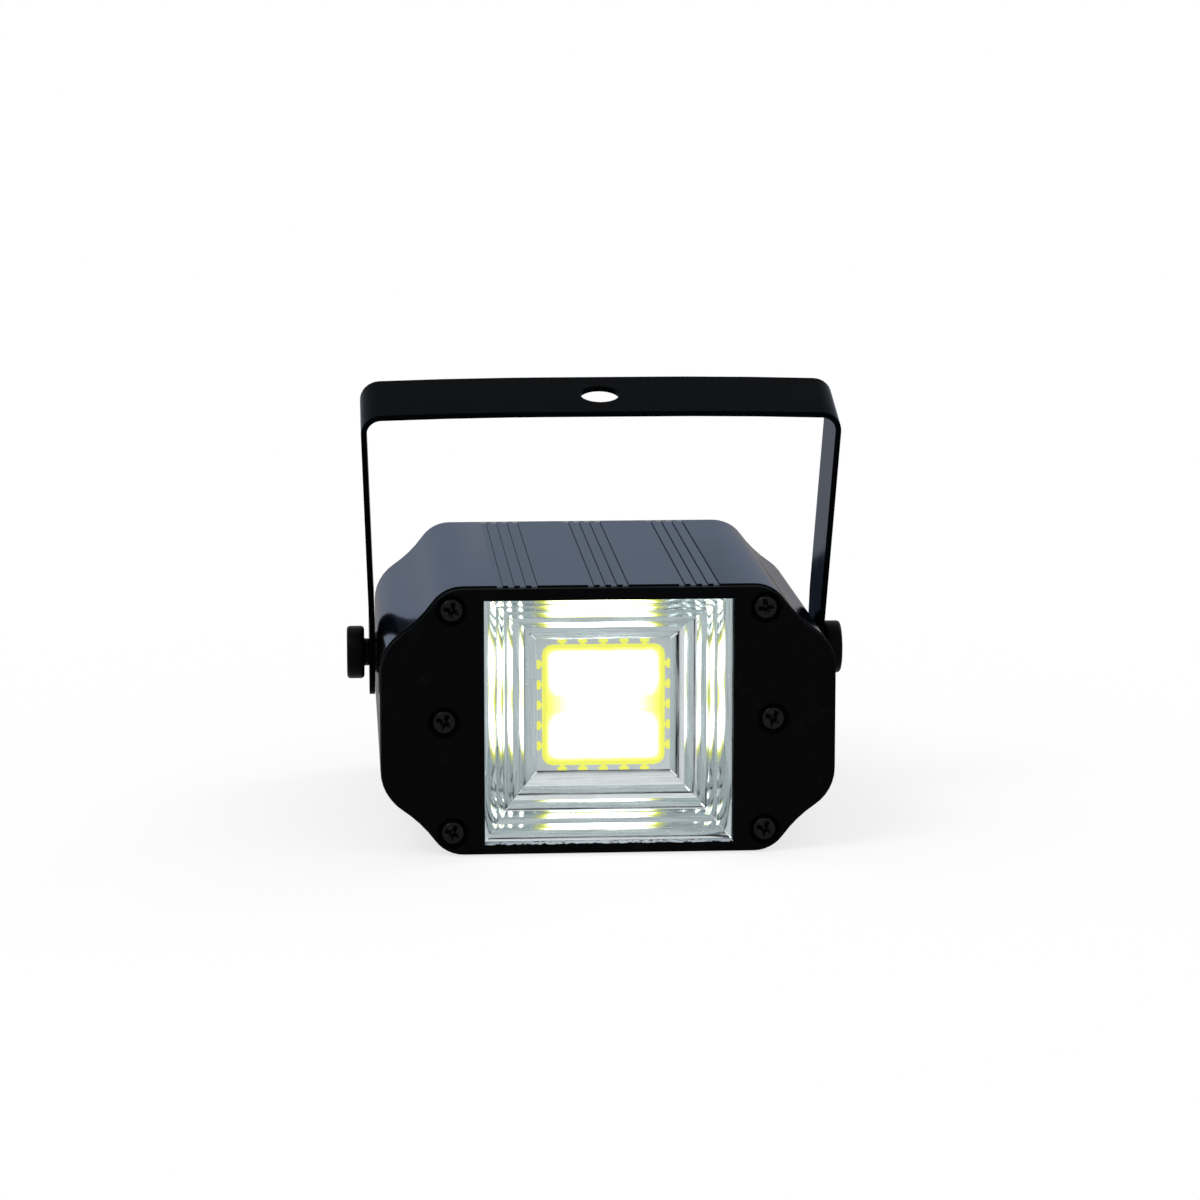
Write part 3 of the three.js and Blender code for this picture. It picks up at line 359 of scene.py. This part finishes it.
def gloss_black(
    name, colour, dust, gloss_range, ior, lacquer=0, painted_reflection_tint=(1, 1, 1), worn=False,
):
    """Black paint whose coat paints a blue-grey reflection colour: it dims and tints what it
    mirrors at a slant.

    It has a faint orange peel, uneven gloss, a little dust and rubbed patches.
    """
    material, tree, shader = new_material(name)
    place = object_place(tree)
    cloud = noise(tree, place, paint_cloud_scale, 4)
    speck = specks(tree, place, dust_scale, dust_onset)
    rubbed = ranged(tree, noise(tree, place, rub_scale, 5, 0.7), *rub_onset, 0, rub_most)
    base = mixed(tree, cloud, colour, shaded(colour, paint_cloud_shade))
    base = mixed(tree, worked(tree, "MAXIMUM", rubbed, speck), base, dust)
    if worn:
        base = mixed(tree, worn_edge(tree), base, worn_metal)
    tree.links.new(base, shader.inputs["Base Color"])
    gloss = spread(tree, cloud, *gloss_range)
    dulled = worked(tree, "ADD", gloss, worked(tree, "MULTIPLY", rubbed, rub_dulling))
    tree.links.new(dulled, shader.inputs["Roughness"])
    shader.inputs["IOR"].default_value = ior
    shader.inputs["Coat Weight"].default_value = lacquer
    shader.inputs["Coat Roughness"].default_value = lacquer_roughness
    shader.inputs["Coat IOR"].default_value = 1
    # The coat's tint is a painted reflection colour: it turns what the paint mirrors blue-grey.
    shader.inputs["Coat Tint"].default_value = (*painted_reflection_tint, 1)
    bump(tree, shader, noise(tree, place, orange_peel_scale, 2), orange_peel_depth)
    return material


def plain_metal(name, colour, roughness, stretch=(1, 1, 1)):
    """Metal with fine lines, along one direction where they are stretched, and uneven polish."""
    material, tree, shader = new_material(name)
    lines = noise(tree, object_place(tree, stretch), metal_line_scale)
    cloud = noise(tree, object_place(tree), metal_cloud_scale, 4)
    shade = mixed(tree, cloud, colour, shaded(colour, metal_cloud_shade))
    tree.links.new(shade, shader.inputs["Base Color"])
    tree.links.new(spread(tree, lines, *roughness), shader.inputs["Roughness"])
    shader.inputs["Metallic"].default_value = 1
    bump(tree, shader, lines, metal_relief)
    return material


def moulded(name, colour, roughness, grain, ior=None):
    """Plastic moulding or similar with a fine grain and slight mottling."""
    material, tree, shader = new_material(name)
    place = object_place(tree)
    cloud = noise(tree, place, moulding_cloud_scale, 4)
    shade = mixed(tree, cloud, colour, shaded(colour, moulding_cloud_shade))
    tree.links.new(shade, shader.inputs["Base Color"])
    tree.links.new(spread(tree, cloud, *roughness), shader.inputs["Roughness"])
    if ior:
        shader.inputs["IOR"].default_value = ior
    bump(tree, shader, noise(tree, place, grain, 2), moulding_relief)
    return material


def mirror_coat(name, colour):
    """Metallised coat: fine moulding lines along each wall, faint haze and dust."""
    material, tree, shader = new_material(name)
    parts = object_parts(tree)[1]
    across = worked(tree, "ABSOLUTE", parts["X"])
    on_side = worked(tree, "GREATER_THAN", across, away_from(tree, parts["Z"], middle_z))
    upright = object_place(tree, (1, 1, coat_line_stretch))
    level = object_place(tree, (coat_line_stretch, 1, 1))
    lines = mixed_value(
        tree, on_side,
        noise(tree, level, coat_line_scale), noise(tree, upright, coat_line_scale),
    )
    haze = noise(tree, object_place(tree), coat_haze_scale, 4)
    speck = specks(tree, object_place(tree), coat_speck_scale, coat_speck_onset)
    shade = mixed(tree, haze, colour, shaded(colour, coat_haze_shade))
    streak = ranged(tree, lines, *coat_streak_onset, coat_streak_most, 0)
    shade = mixed(tree, streak, shade, shaded(colour, coat_streak_shade))
    tree.links.new(shade, shader.inputs["Base Color"])
    shader.inputs["Metallic"].default_value = 1
    clean = ranged(tree, lines, *coat_line_reach, *coat_roughness)
    dull = worked(tree, "ADD", worked(tree, "MULTIPLY", speck, coat_speck_dulling), clean)
    tree.links.new(dull, shader.inputs["Roughness"])
    bump(tree, shader, lines, metal_relief)
    return material


def chip_grid(tree, parts):
    """The lit chips' pattern: a soft grid of points."""
    waves = []
    for part in ("X", "Z"):
        turn = worked(tree, "MULTIPLY", parts[part], math.tau / chip_pitch)
        waves.append(ranged(tree, worked(tree, "COSINE", turn), -1, 1, 0, 1))
    return worked(tree, "MULTIPLY", *waves)


def lit_layer(name):
    """Glowing layer: two white-hot rows of chips, strong yellow along its border and teeth."""
    material, tree, shader = new_material(name)
    place, parts = object_parts(tree)
    wander = spread(tree, noise(tree, place, lit_wander_scale, 2), -lit_wander, lit_wander)
    across = worked(tree, "ADD", worked(tree, "ABSOLUTE", parts["X"]), wander)
    up = worked(tree, "ADD", away_from(tree, parts["Z"], middle_z), wander)
    column = ranged(tree, across, *lit_fade, 1, 0, smooth=True)
    outer = ranged(tree, up, *lit_fade, 1, 0, smooth=True)
    band = ranged(tree, across, *band_width, *band_levels)
    rows = mixed_value(tree, ranged(tree, up, *band_height, 0, 1, smooth=True), band, 1)
    heat = worked(tree, "MULTIPLY", worked(tree, "MULTIPLY", column, outer), rows)
    colour = mixed(tree, ranged(tree, heat, 0, white_heat, 0, 1), glow_yellow, glow_white)
    tree.links.new(colour, shader.inputs["Emission Color"])
    points = ranged(tree, chip_grid(tree, parts), 0, 1, *chip_levels)
    glow = worked(tree, "MULTIPLY", worked(tree, "MULTIPLY", heat, points), glow_most)
    tree.links.new(worked(tree, "ADD", glow, glow_least), shader.inputs["Emission Strength"])
    # Base colour paler where the layer glows hot: a painted glow in the surface colour
    tree.links.new(mixed(tree, heat, layer_yellow, painted_glow_colour), shader.inputs["Base Color"])
    shader.inputs["Roughness"].default_value = lit_roughness
    bump(tree, shader, noise(tree, place, lit_grain_scale, 2), lit_grain_depth)
    return material


# The coat tints given to gloss_black here and in the slot finishes below are painted reflection
# colours.
plate_paint = gloss_black(
    "plate paint", (0.0022, 0.0022, 0.0024), dust=(0.011, 0.011, 0.012),
    gloss_range=(0.26, 0.32), ior=1.03, lacquer=0.5, painted_reflection_tint=(0.8, 0.85, 0.9), worn=True,
)
rear_paint = gloss_black(
    "rear plate paint", (0.004, 0.0041, 0.0045), dust=(0.016, 0.016, 0.017),
    gloss_range=(0.28, 0.36), ior=1.3,
)
dial_plastic = moulded("dial plastic", (0.007, 0.007, 0.0075), (0.32, 0.45), 1500)
white_mark = moulded("white marking", (0.62, 0.62, 0.6), (0.5, 0.65), 2200)

slot_finishes = {
    "black_paint": gloss_black(
        "glossy black paint", (0.005, 0.0052, 0.0056), dust=(0.015, 0.0155, 0.017),
        gloss_range=(0.07, 0.12), ior=1.2, lacquer=0.74, painted_reflection_tint=(0.65, 0.75, 0.84),
    ),
    "yoke_paint": gloss_black(
        "yoke paint", (0.0007, 0.001, 0.0013), dust=(0.007, 0.0075, 0.009),
        gloss_range=(0.08, 0.13), ior=1.04, lacquer=0.62, painted_reflection_tint=(0.8, 0.84, 0.9),
    ),
    "black_steel": gloss_black(
        "blackened steel", (0.002, 0.002, 0.0022), dust=(0.012, 0.012, 0.013),
        gloss_range=(0.14, 0.22), ior=1.2,
    ),
    "knob_plastic": moulded(
        "knob plastic", (0.0016, 0.0016, 0.0018), (0.3, 0.42), 1500, ior=1.1,
    ),
    "mirror_coat": mirror_coat("metallised coat", (0.72, 0.775, 0.785)),
    "pale_ceramic": moulded("pale ceramic", (0.74, 0.8, 0.8), (0.4, 0.6), 1200),
    "lit_phosphor": lit_layer("glowing layer"),
    "bare_aluminium": plain_metal(
        "bare aluminium", (0.62, 0.64, 0.66), (0.28, 0.45), stretch=(1, 1, 0.05),
    ),
    "zinc_steel": plain_metal("zinc plate", (0.58, 0.58, 0.57), (0.22, 0.4)),
    "board_laminate": moulded("circuit board", (0.012, 0.1, 0.036), (0.35, 0.5), 1800),
    "moulding": moulded("black moulding", (0.011, 0.011, 0.012), (0.4, 0.6), 1600),
    "ferrite": moulded("dark ferrite", (0.042, 0.042, 0.045), (0.55, 0.75), 1400),
    "terminal_plastic": moulded("terminal plastic", (0.025, 0.15, 0.06), (0.35, 0.5), 1500),
    "red_lead": moulded("red insulation", (0.34, 0.014, 0.012), (0.4, 0.55), 1800),
    "black_lead": moulded("black insulation", (0.01, 0.01, 0.01), (0.4, 0.55), 1800),
    "green_lead": moulded("green insulation", (0.05, 0.19, 0.025), (0.4, 0.55), 1800),
}
node_slots = {part["node"]: part["material_slot"] for part in frame["record"]["subparts"]}
node_bodies = {
    node: body
    for body, nodes in frame["record"]["behaviour"]["bodies"].items()
    for node in nodes
}


# Pieces

def new_object(name, data):
    """Puts a mesh, a text, a lamp or a camera into the scene."""
    thing = bpy.data.objects.new(name, data)
    bpy.context.scene.collection.objects.link(thing)
    return thing


def new_piece(name, shape):
    """Makes an object of a bmesh, at the origin."""
    mesh = bpy.data.meshes.new(name)
    shape.to_mesh(mesh)
    shape.free()
    return new_object(name, mesh)


def add_piece(name, shape, node, round_by=0, crease=crease_angle, finish=None):
    """Makes a finished piece of a bmesh; it stands for a CAD node and rides on its body."""
    piece = new_piece(name, shape)
    mesh = piece.data
    mesh.materials.append(finish or slot_finishes[node_slots[node]])
    mesh.shade_smooth()
    mesh.set_sharp_from_angle(angle=crease)
    if round_by:
        rounding = piece.modifiers.new("rounded edges", "BEVEL")
        rounding.width = round_by
        rounding.segments = round_segments
        rounding.limit_method = "ANGLE"
        rounding.angle_limit = crease
        rounding.harden_normals = True
    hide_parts(node)
    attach(piece, node_bodies[node])
    return piece


def merged_copy(node):
    """The CAD node's surface with its corners merged and its flat faces whole."""
    shape = bmesh.new()
    shape.from_mesh(frame["nodes"][node].data)
    bmesh.ops.remove_doubles(shape, verts=shape.verts[:], dist=merge_distance)
    bmesh.ops.dissolve_limit(
        shape, angle_limit=flat_angle, verts=shape.verts[:], edges=shape.edges[:]
    )
    return shape


def smooth_node(node, round_by=0, crease=crease_angle, finish=None):
    """A CAD node shown with smooth curves and slightly rounded edges."""
    return add_piece(node + "_finish", merged_copy(node), node, round_by, crease, finish)


def box_shape(size, place):
    """A bmesh box of a given size about a point."""
    shape = bmesh.new()
    bmesh.ops.create_cube(shape, size=1)
    bmesh.ops.scale(shape, verts=shape.verts[:], vec=size)
    bmesh.ops.translate(shape, verts=shape.verts[:], vec=place)
    return shape


def turn_corners(shape, corners, angle, axis):
    """Turns vertices about an axis through the origin."""
    bmesh.ops.rotate(
        shape, verts=corners, cent=(0, 0, 0), matrix=Matrix.Rotation(angle, 3, axis),
    )


def corners_among(parts):
    """The vertices among what a bmesh operator returns."""
    return [part for part in parts if isinstance(part, bmesh.types.BMVert)]


def spun(shape, points, centre, axis, steps):
    """Spins a chain of points once round an axis into a closed surface, normals outwards."""
    edges = [shape.edges.new(pair) for pair in zip(points, points[1:])]
    bmesh.ops.spin(
        shape, geom=points + edges, cent=centre, axis=axis,
        angle=math.tau, steps=steps, use_merge=True,
    )
    bmesh.ops.remove_doubles(shape, verts=shape.verts[:], dist=merge_distance)
    bmesh.ops.recalc_face_normals(shape, faces=shape.faces[:])


def reflector_bowl():
    """The bowl's stepped walls: one mitre profile turned four times, with softened mitres."""
    shape = bmesh.new()
    line = []
    for facet, bow in enumerate(bowl_bows):
        across = bowl_halves[facet + 1] - bowl_halves[facet]
        along = bowl_depths[facet + 1] - bowl_depths[facet]
        length = math.hypot(across, along)
        for step in range(bowl_steps):
            share = step / bowl_steps
            inward = 4 * bow * share * (1 - share)
            line.append((
                bowl_halves[facet] + across * share - inward * along / length,
                bowl_depths[facet] + along * share + inward * across / length,
            ))
    line.append((bowl_halves[-1], bowl_depths[-1]))
    points = [
        shape.verts.new((
            half - bowl_skin, plate_back + depth, middle_z + half - bowl_skin,
        ))
        for half, depth in line
    ]
    spun(shape, points, (0, 0, middle_z), (0, 1, 0), 4)
    wall = max(shape.faces, key=lambda face: face.calc_center_median().x)
    if wall.normal.x > 0:
        bmesh.ops.reverse_faces(shape, faces=shape.faces[:])
    mitres = [
        edge for edge in shape.edges
        if edge.is_manifold and edge.calc_face_angle() > mitre_angle
    ]
    bmesh.ops.bevel(
        shape, geom=mitres, affect="EDGES", offset=mitre_round, segments=mitre_segments,
        profile=0.5, material=-1,
    )
    return shape


def on_crown(face):
    """Whether a face lies on a screw head's crown."""
    return face.normal.z > crown_upward and face.calc_center_median().z > crown_rim * head_height


def in_cross(face):
    """Whether a face lies in one of the cross's two arms, seen from above."""
    middle = face.calc_center_median()
    near, far = sorted((abs(middle.x), abs(middle.y)))
    return near < cross_half and far < cross_reach


def cross_screw(length, turn):
    """A pan-head screw along +Z with its head's seat at the origin and a cross recess on top."""
    shape = bmesh.new()
    line = [(across * head_radius, up * head_height) for across, up in crown_profile]
    line.append((shank_radius, 0))
    for ring in range(1, int(length / thread_pitch) - 1):
        line.append((thread_root, -(ring + 0.5) * thread_pitch))
        line.append((shank_radius, -(ring + 1) * thread_pitch))
    line += [(tip_share * thread_root, -length), (0, -length)]
    points = [shape.verts.new((radius, 0, height)) for radius, height in line]
    spun(shape, points, (0, 0, 0), (0, 0, 1), screw_sides)
    for side in (Vector((1, 0, 0)), Vector((0, 1, 0))):
        for place in (-cross_reach, -cross_half, cross_half, cross_reach):
            top = [face for face in shape.faces if on_crown(face)]
            parts = {edge for face in top for edge in face.edges}
            parts |= {corner for face in top for corner in face.verts}
            bmesh.ops.bisect_plane(
                shape, geom=top + list(parts), dist=merge_distance / 10,
                plane_co=side * place, plane_no=side,
            )
    arms = [face for face in shape.faces if on_crown(face) and in_cross(face)]
    grown = bmesh.ops.extrude_face_region(shape, geom=arms)["geom"]
    bmesh.ops.delete(shape, geom=[face for face in arms if face.is_valid], context="FACES")
    floor_points = corners_among(grown)
    bmesh.ops.translate(shape, verts=floor_points, vec=(0, 0, -cross_depth))
    bmesh.ops.scale(
        shape, verts=floor_points,
        vec=(cross_floor_share, cross_floor_share, cross_floor_relief),
        space=Matrix.Translation((0, 0, cross_depth - head_height)),
    )
    turn_corners(shape, shape.verts[:], turn, "Z")
    return shape


def screw_piece(node, facing, turn):
    """A detailed screw in place of a CAD screw; facing is -1 at the front and 1 at the back."""
    low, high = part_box(node)
    length = high.y - low.y - head_height
    shape = cross_screw(length, math.radians(turn))
    seat = low.y + head_height if facing < 0 else high.y - head_height
    stand = Matrix.Rotation(math.radians(-90 * facing), 4, "X")
    move = Matrix.Translation(((low.x + high.x) / 2, seat, (low.z + high.z) / 2))
    bmesh.ops.transform(shape, matrix=move @ stand, verts=shape.verts[:])
    return add_piece(node + "_finish", shape, node)


def corner_tabs():
    """Four small tabs along the mitres where the bowl meets the lit square's frame."""
    shape = box_shape((tab_length, tab_height, tab_width), (0, 0, 0))
    slope = math.atan2(
        bowl_depths[-1] - bowl_depths[-2], math.sqrt(2) * (bowl_halves[-2] - bowl_halves[-1]),
    )
    turn_corners(shape, shape.verts[:], -slope, "Z")
    turn_corners(shape, shape.verts[:], math.radians(-45), "Y")
    reach = bowl_halves[-1] + tab_inset
    depth = bowl_depths[-1] - tab_inset
    bmesh.ops.translate(shape, verts=shape.verts[:], vec=(reach, plate_back + depth, reach))
    first = shape.verts[:] + shape.edges[:] + shape.faces[:]
    for turn in (90, 180, 270):
        corner = bmesh.ops.duplicate(shape, geom=first)["geom"]
        turn_corners(shape, corners_among(corner), math.radians(turn), "Y")
    bmesh.ops.translate(shape, verts=shape.verts[:], vec=(0, 0, middle_z))
    return shape


def settled(shape, node):
    """Lays a flat mark down along -Y onto a node's surface."""
    carrier = merged_copy(node)
    surface = BVHTree.FromBMesh(carrier)
    carrier.free()
    for corner in shape.verts:
        above = Vector((corner.co.x, rear_high.y + drop_height, corner.co.z))
        landing = surface.ray_cast(above, Vector((0, -1, 0)))[0]
        if landing is not None:
            corner.co.y += landing.y
    return shape


def add_mark(name, shape, body):
    """White marking that rides on a body."""
    piece = new_piece(name, shape)
    piece.data.materials.append(white_mark)
    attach(piece, body)
    return piece


def dial_angle(number):
    """Where a number stands on the dial's scale, from the top."""
    return dial_range * (number / (dial_numbers - 1) - 0.5)


def dial_scale():
    """Ticks round the speed dial, one for each number."""
    shape = bmesh.new()
    radius = dial_radius + tick_gap + tick_length / 2
    for number in range(dial_numbers):
        tick = bmesh.ops.create_cube(shape, size=1)["verts"]
        bmesh.ops.scale(shape, verts=tick, vec=(tick_width, mark_height, tick_length))
        bmesh.ops.translate(shape, verts=tick, vec=(0, rear_high.y + mark_height / 2, radius))
        turn_corners(shape, tick, -dial_angle(number), "Y")
        bmesh.ops.translate(shape, verts=tick, vec=(dial_x, 0, dial_z))
    return shape


def dial_number(number):
    """A plain number beside its tick."""
    letters = bpy.data.curves.new("number", "FONT")
    letters.body = str(number)
    letters.size = number_size
    letters.align_x = "CENTER"
    letters.align_y = "CENTER"
    letters.extrude = mark_height / 2
    letters.resolution_u = number_curve_steps
    writing = new_object("number", letters)
    bpy.context.view_layer.update()
    shape = bmesh.new()
    shape.from_mesh(writing.to_mesh())
    writing.to_mesh_clear()
    bpy.data.objects.remove(writing)
    angle = dial_angle(number)
    radius = dial_radius + number_gap
    place = Vector((
        dial_x - radius * math.sin(angle),
        rear_high.y + mark_height / 2,
        dial_z + radius * math.cos(angle),
    ))
    stand = Matrix.Rotation(math.pi, 4, "Z") @ Matrix.Rotation(math.pi / 2, 4, "X")
    bmesh.ops.transform(shape, matrix=Matrix.Translation(place) @ stand, verts=shape.verts[:])
    return shape


def pointer():
    """White line across the dial's cap, from near its middle to its rim."""
    shape = box_shape(
        (pointer_width, mark_height, pointer_length),
        (dial_x, mark_height / 2, dial_high.z - pointer_inset - pointer_length / 2),
    )
    return settled(shape, "speed_knob")


def rocker_marks():
    """A line and a ring, for on and off, on the rocker's two halves."""
    middle = (rocker_low.x + rocker_high.x) / 2
    inset = rocker_mark_share * (rocker_high.z - rocker_low.z)
    shape = box_shape(
        (on_mark_width, mark_height, on_mark_length),
        (middle, mark_height / 2, rocker_high.z - inset),
    )
    ring = bmesh.ops.create_circle(
        shape, segments=off_ring_sides, radius=off_ring_radius,
    )["verts"]
    rim = [edge for edge in shape.edges if all(corner in ring for corner in edge.verts)]
    inner = corners_among(bmesh.ops.extrude_edge_only(shape, edges=rim)["geom"])
    bmesh.ops.scale(
        shape, verts=inner, vec=(off_ring_inner_share, off_ring_inner_share, 1),
    )
    turn_corners(shape, ring + inner, math.pi / 2, "X")
    bmesh.ops.translate(
        shape, verts=ring + inner, vec=(middle, mark_height, rocker_low.z + inset),
    )
    return settled(shape, "switch_rocker")


def plate_inlet_pin(inlet):
    """Gives the pin in the middle of the inlet's socket its zinc."""
    inlet.data.materials.append(slot_finishes["zinc_steel"])
    axis = (inlet_low + inlet_high) / 2
    for face in inlet.data.polygons:
        corners = [inlet.data.vertices[index].co for index in face.vertices]
        if all(math.hypot(corner.x - axis.x, corner.z - axis.z) < inlet_pin_radius
               for corner in corners):
            face.material_index = 1


for node, piece in frame["nodes"].items():
    piece.data.materials.clear()
    piece.data.materials.append(slot_finishes[node_slots[node]])

for node in ("housing_shell", "yoke"):
    smooth_node(node, edge_round)
smooth_node("front_plate", edge_round, finish=plate_paint)
smooth_node("rear_plate", edge_round, finish=rear_paint)
for side in ("left", "right"):
    smooth_node("thumb_knob_" + side, knob_round)
    for node in ("washer_", "thumb_stud_", "side_nut_"):
        smooth_node(node + side, thin_edge_round)
smooth_node("speed_knob", thin_edge_round, finish=dial_plastic)
for node in (
    "pot_shaft", "pot_nut", "speed_pot", "inlet_nut", "switch_body",
    "switch_rocker", "heat_sink", "led_base", "driver_board", "board_capacitor",
    "board_inductor", "board_transistor", "board_controller", "board_terminal",
):
    smooth_node(node, thin_edge_round)
for node in (
    "led_lead_positive", "led_lead_negative", "inlet_lead",
    "switch_lead", "ground_lead", "pot_lead",
):
    smooth_node(node, crease=lead_crease)
plate_inlet_pin(smooth_node("power_inlet", thin_edge_round))

smooth_node("reflector", crease=facet_crease)
add_piece("reflector_bowl", reflector_bowl(), "reflector", crease=facet_crease)
add_piece("reflector_tabs", corner_tabs(), "reflector")
for index, (front_turn, rear_turn) in enumerate(zip(front_turns, rear_turns), 1):
    screw_piece(f"front_screw_{index}", -1, front_turn)
    screw_piece(f"rear_screw_{index}", 1, rear_turn)
for index, turn in enumerate(module_turns, 1):
    screw_piece(f"module_screw_{index}", 1, turn)

add_mark("dial_scale", dial_scale(), node_bodies["rear_plate"])
for number in range(dial_numbers):
    add_mark(f"dial_number_{number}", dial_number(number), node_bodies["rear_plate"])
add_mark("dial_pointer", pointer(), node_bodies["speed_knob"])
add_mark("rocker_marks", rocker_marks(), node_bodies["switch_rocker"])


# Stage: floor, light and camera

floor_size = 30
floor_grey = (0.93, 0.93, 0.93, 1)
floor_fade = (0.06, 0.26)
floor_least_white = 0.72
sky_colour = (0.96, 0.98, 1, 1)
sky_strength = 0.8

# Name, place in metres, side in metres and watts
lamps = (
    ("key", (-0.9, -0.9, 1.5), 0.7, 10),
    ("side lamp", (1.2, 0.9, 1.1), 0.6, 6),
)

# The photograph's camera, from the front plate's middle: place, turn and tilt in radians, and
# focal length in pixels of the photograph
camera_side = -54.75 * MM
camera_ahead = 790.386 * MM
camera_rise = 157.487 * MM
camera_turn = 0.06678
camera_tilt = 0.16596
focal_pixels = 4000
photo_pixels = 1200
sensor_width = 36


def floor():
    """Pale floor that keeps the shadow near the light and turns white further out."""
    shape = bmesh.new()
    bmesh.ops.create_grid(shape, x_segments=1, y_segments=1, size=floor_size)
    plane = new_piece("floor", shape)
    material, tree, shader = new_material("pale floor")
    shader.inputs["Base Color"].default_value = floor_grey
    shader.inputs["Roughness"].default_value = 0.9
    shader.inputs["Specular IOR Level"].default_value = 0
    white = tree.nodes.new("ShaderNodeEmission")
    white.inputs["Strength"].default_value = 1
    away = tree.nodes.new("ShaderNodeVectorMath")
    away.operation = "LENGTH"
    tree.links.new(object_place(tree), away.inputs[0])
    share = ranged(tree, away.outputs["Value"], *floor_fade, floor_least_white, 1)
    blend = tree.nodes.new("ShaderNodeMixShader")
    tree.links.new(worked(tree, "MULTIPLY", share, seen_rays(tree)), blend.inputs["Fac"])
    tree.links.new(shader.outputs["BSDF"], blend.inputs[1])
    tree.links.new(white.outputs["Emission"], blend.inputs[2])
    tree.links.new(blend.outputs["Shader"], tree.nodes["Material Output"].inputs["Surface"])
    plane.data.materials.append(material)


def area_lamp(name, place, size, power):
    """Soft square lamp aimed at the middle of the housing."""
    data = bpy.data.lights.new(name, "AREA")
    data.shape = "SQUARE"
    data.size = size
    data.energy = power
    lamp = new_object(name, data)
    lamp.location = place
    lamp.rotation_mode = "QUATERNION"
    aim = Vector((0, 0, middle_z)) - Vector(place)
    lamp.rotation_quaternion = aim.to_track_quat("-Z", "Y")


def world():
    """Even pale light all round, and a white background."""
    surroundings = bpy.data.worlds.new("surroundings")
    surroundings.use_nodes = True
    tree = surroundings.node_tree
    light = tree.nodes["Background"]
    light.inputs["Color"].default_value = sky_colour
    light.inputs["Strength"].default_value = sky_strength
    white = tree.nodes.new("ShaderNodeBackground")
    white.inputs["Color"].default_value = (1, 1, 1, 1)
    white.inputs["Strength"].default_value = 1
    blend = tree.nodes.new("ShaderNodeMixShader")
    tree.links.new(seen_rays(tree), blend.inputs["Fac"])
    tree.links.new(light.outputs["Background"], blend.inputs[1])
    tree.links.new(white.outputs["Background"], blend.inputs[2])
    tree.links.new(blend.outputs["Shader"], tree.nodes["World Output"].inputs["Surface"])
    bpy.context.scene.world = surroundings


def camera():
    """Camera at the photograph's place, with its long lens."""
    data = bpy.data.cameras.new("camera")
    data.sensor_width = sensor_width
    data.lens = focal_pixels / photo_pixels * sensor_width
    data.clip_start = 0.05
    data.clip_end = 100
    viewer = new_object("camera", data)
    viewer.location = (camera_side, front_low.y - camera_ahead, middle_z + camera_rise)
    forward = Vector((
        math.sin(camera_turn) * math.cos(camera_tilt),
        math.cos(camera_turn) * math.cos(camera_tilt),
        -math.sin(camera_tilt),
    ))
    viewer.rotation_mode = "QUATERNION"
    viewer.rotation_quaternion = forward.to_track_quat("-Z", "Y")
    bpy.context.scene.camera = viewer


floor()
world()
for lamp in lamps:
    area_lamp(*lamp)
camera()
bpy.context.scene.view_settings.view_transform = "Standard"
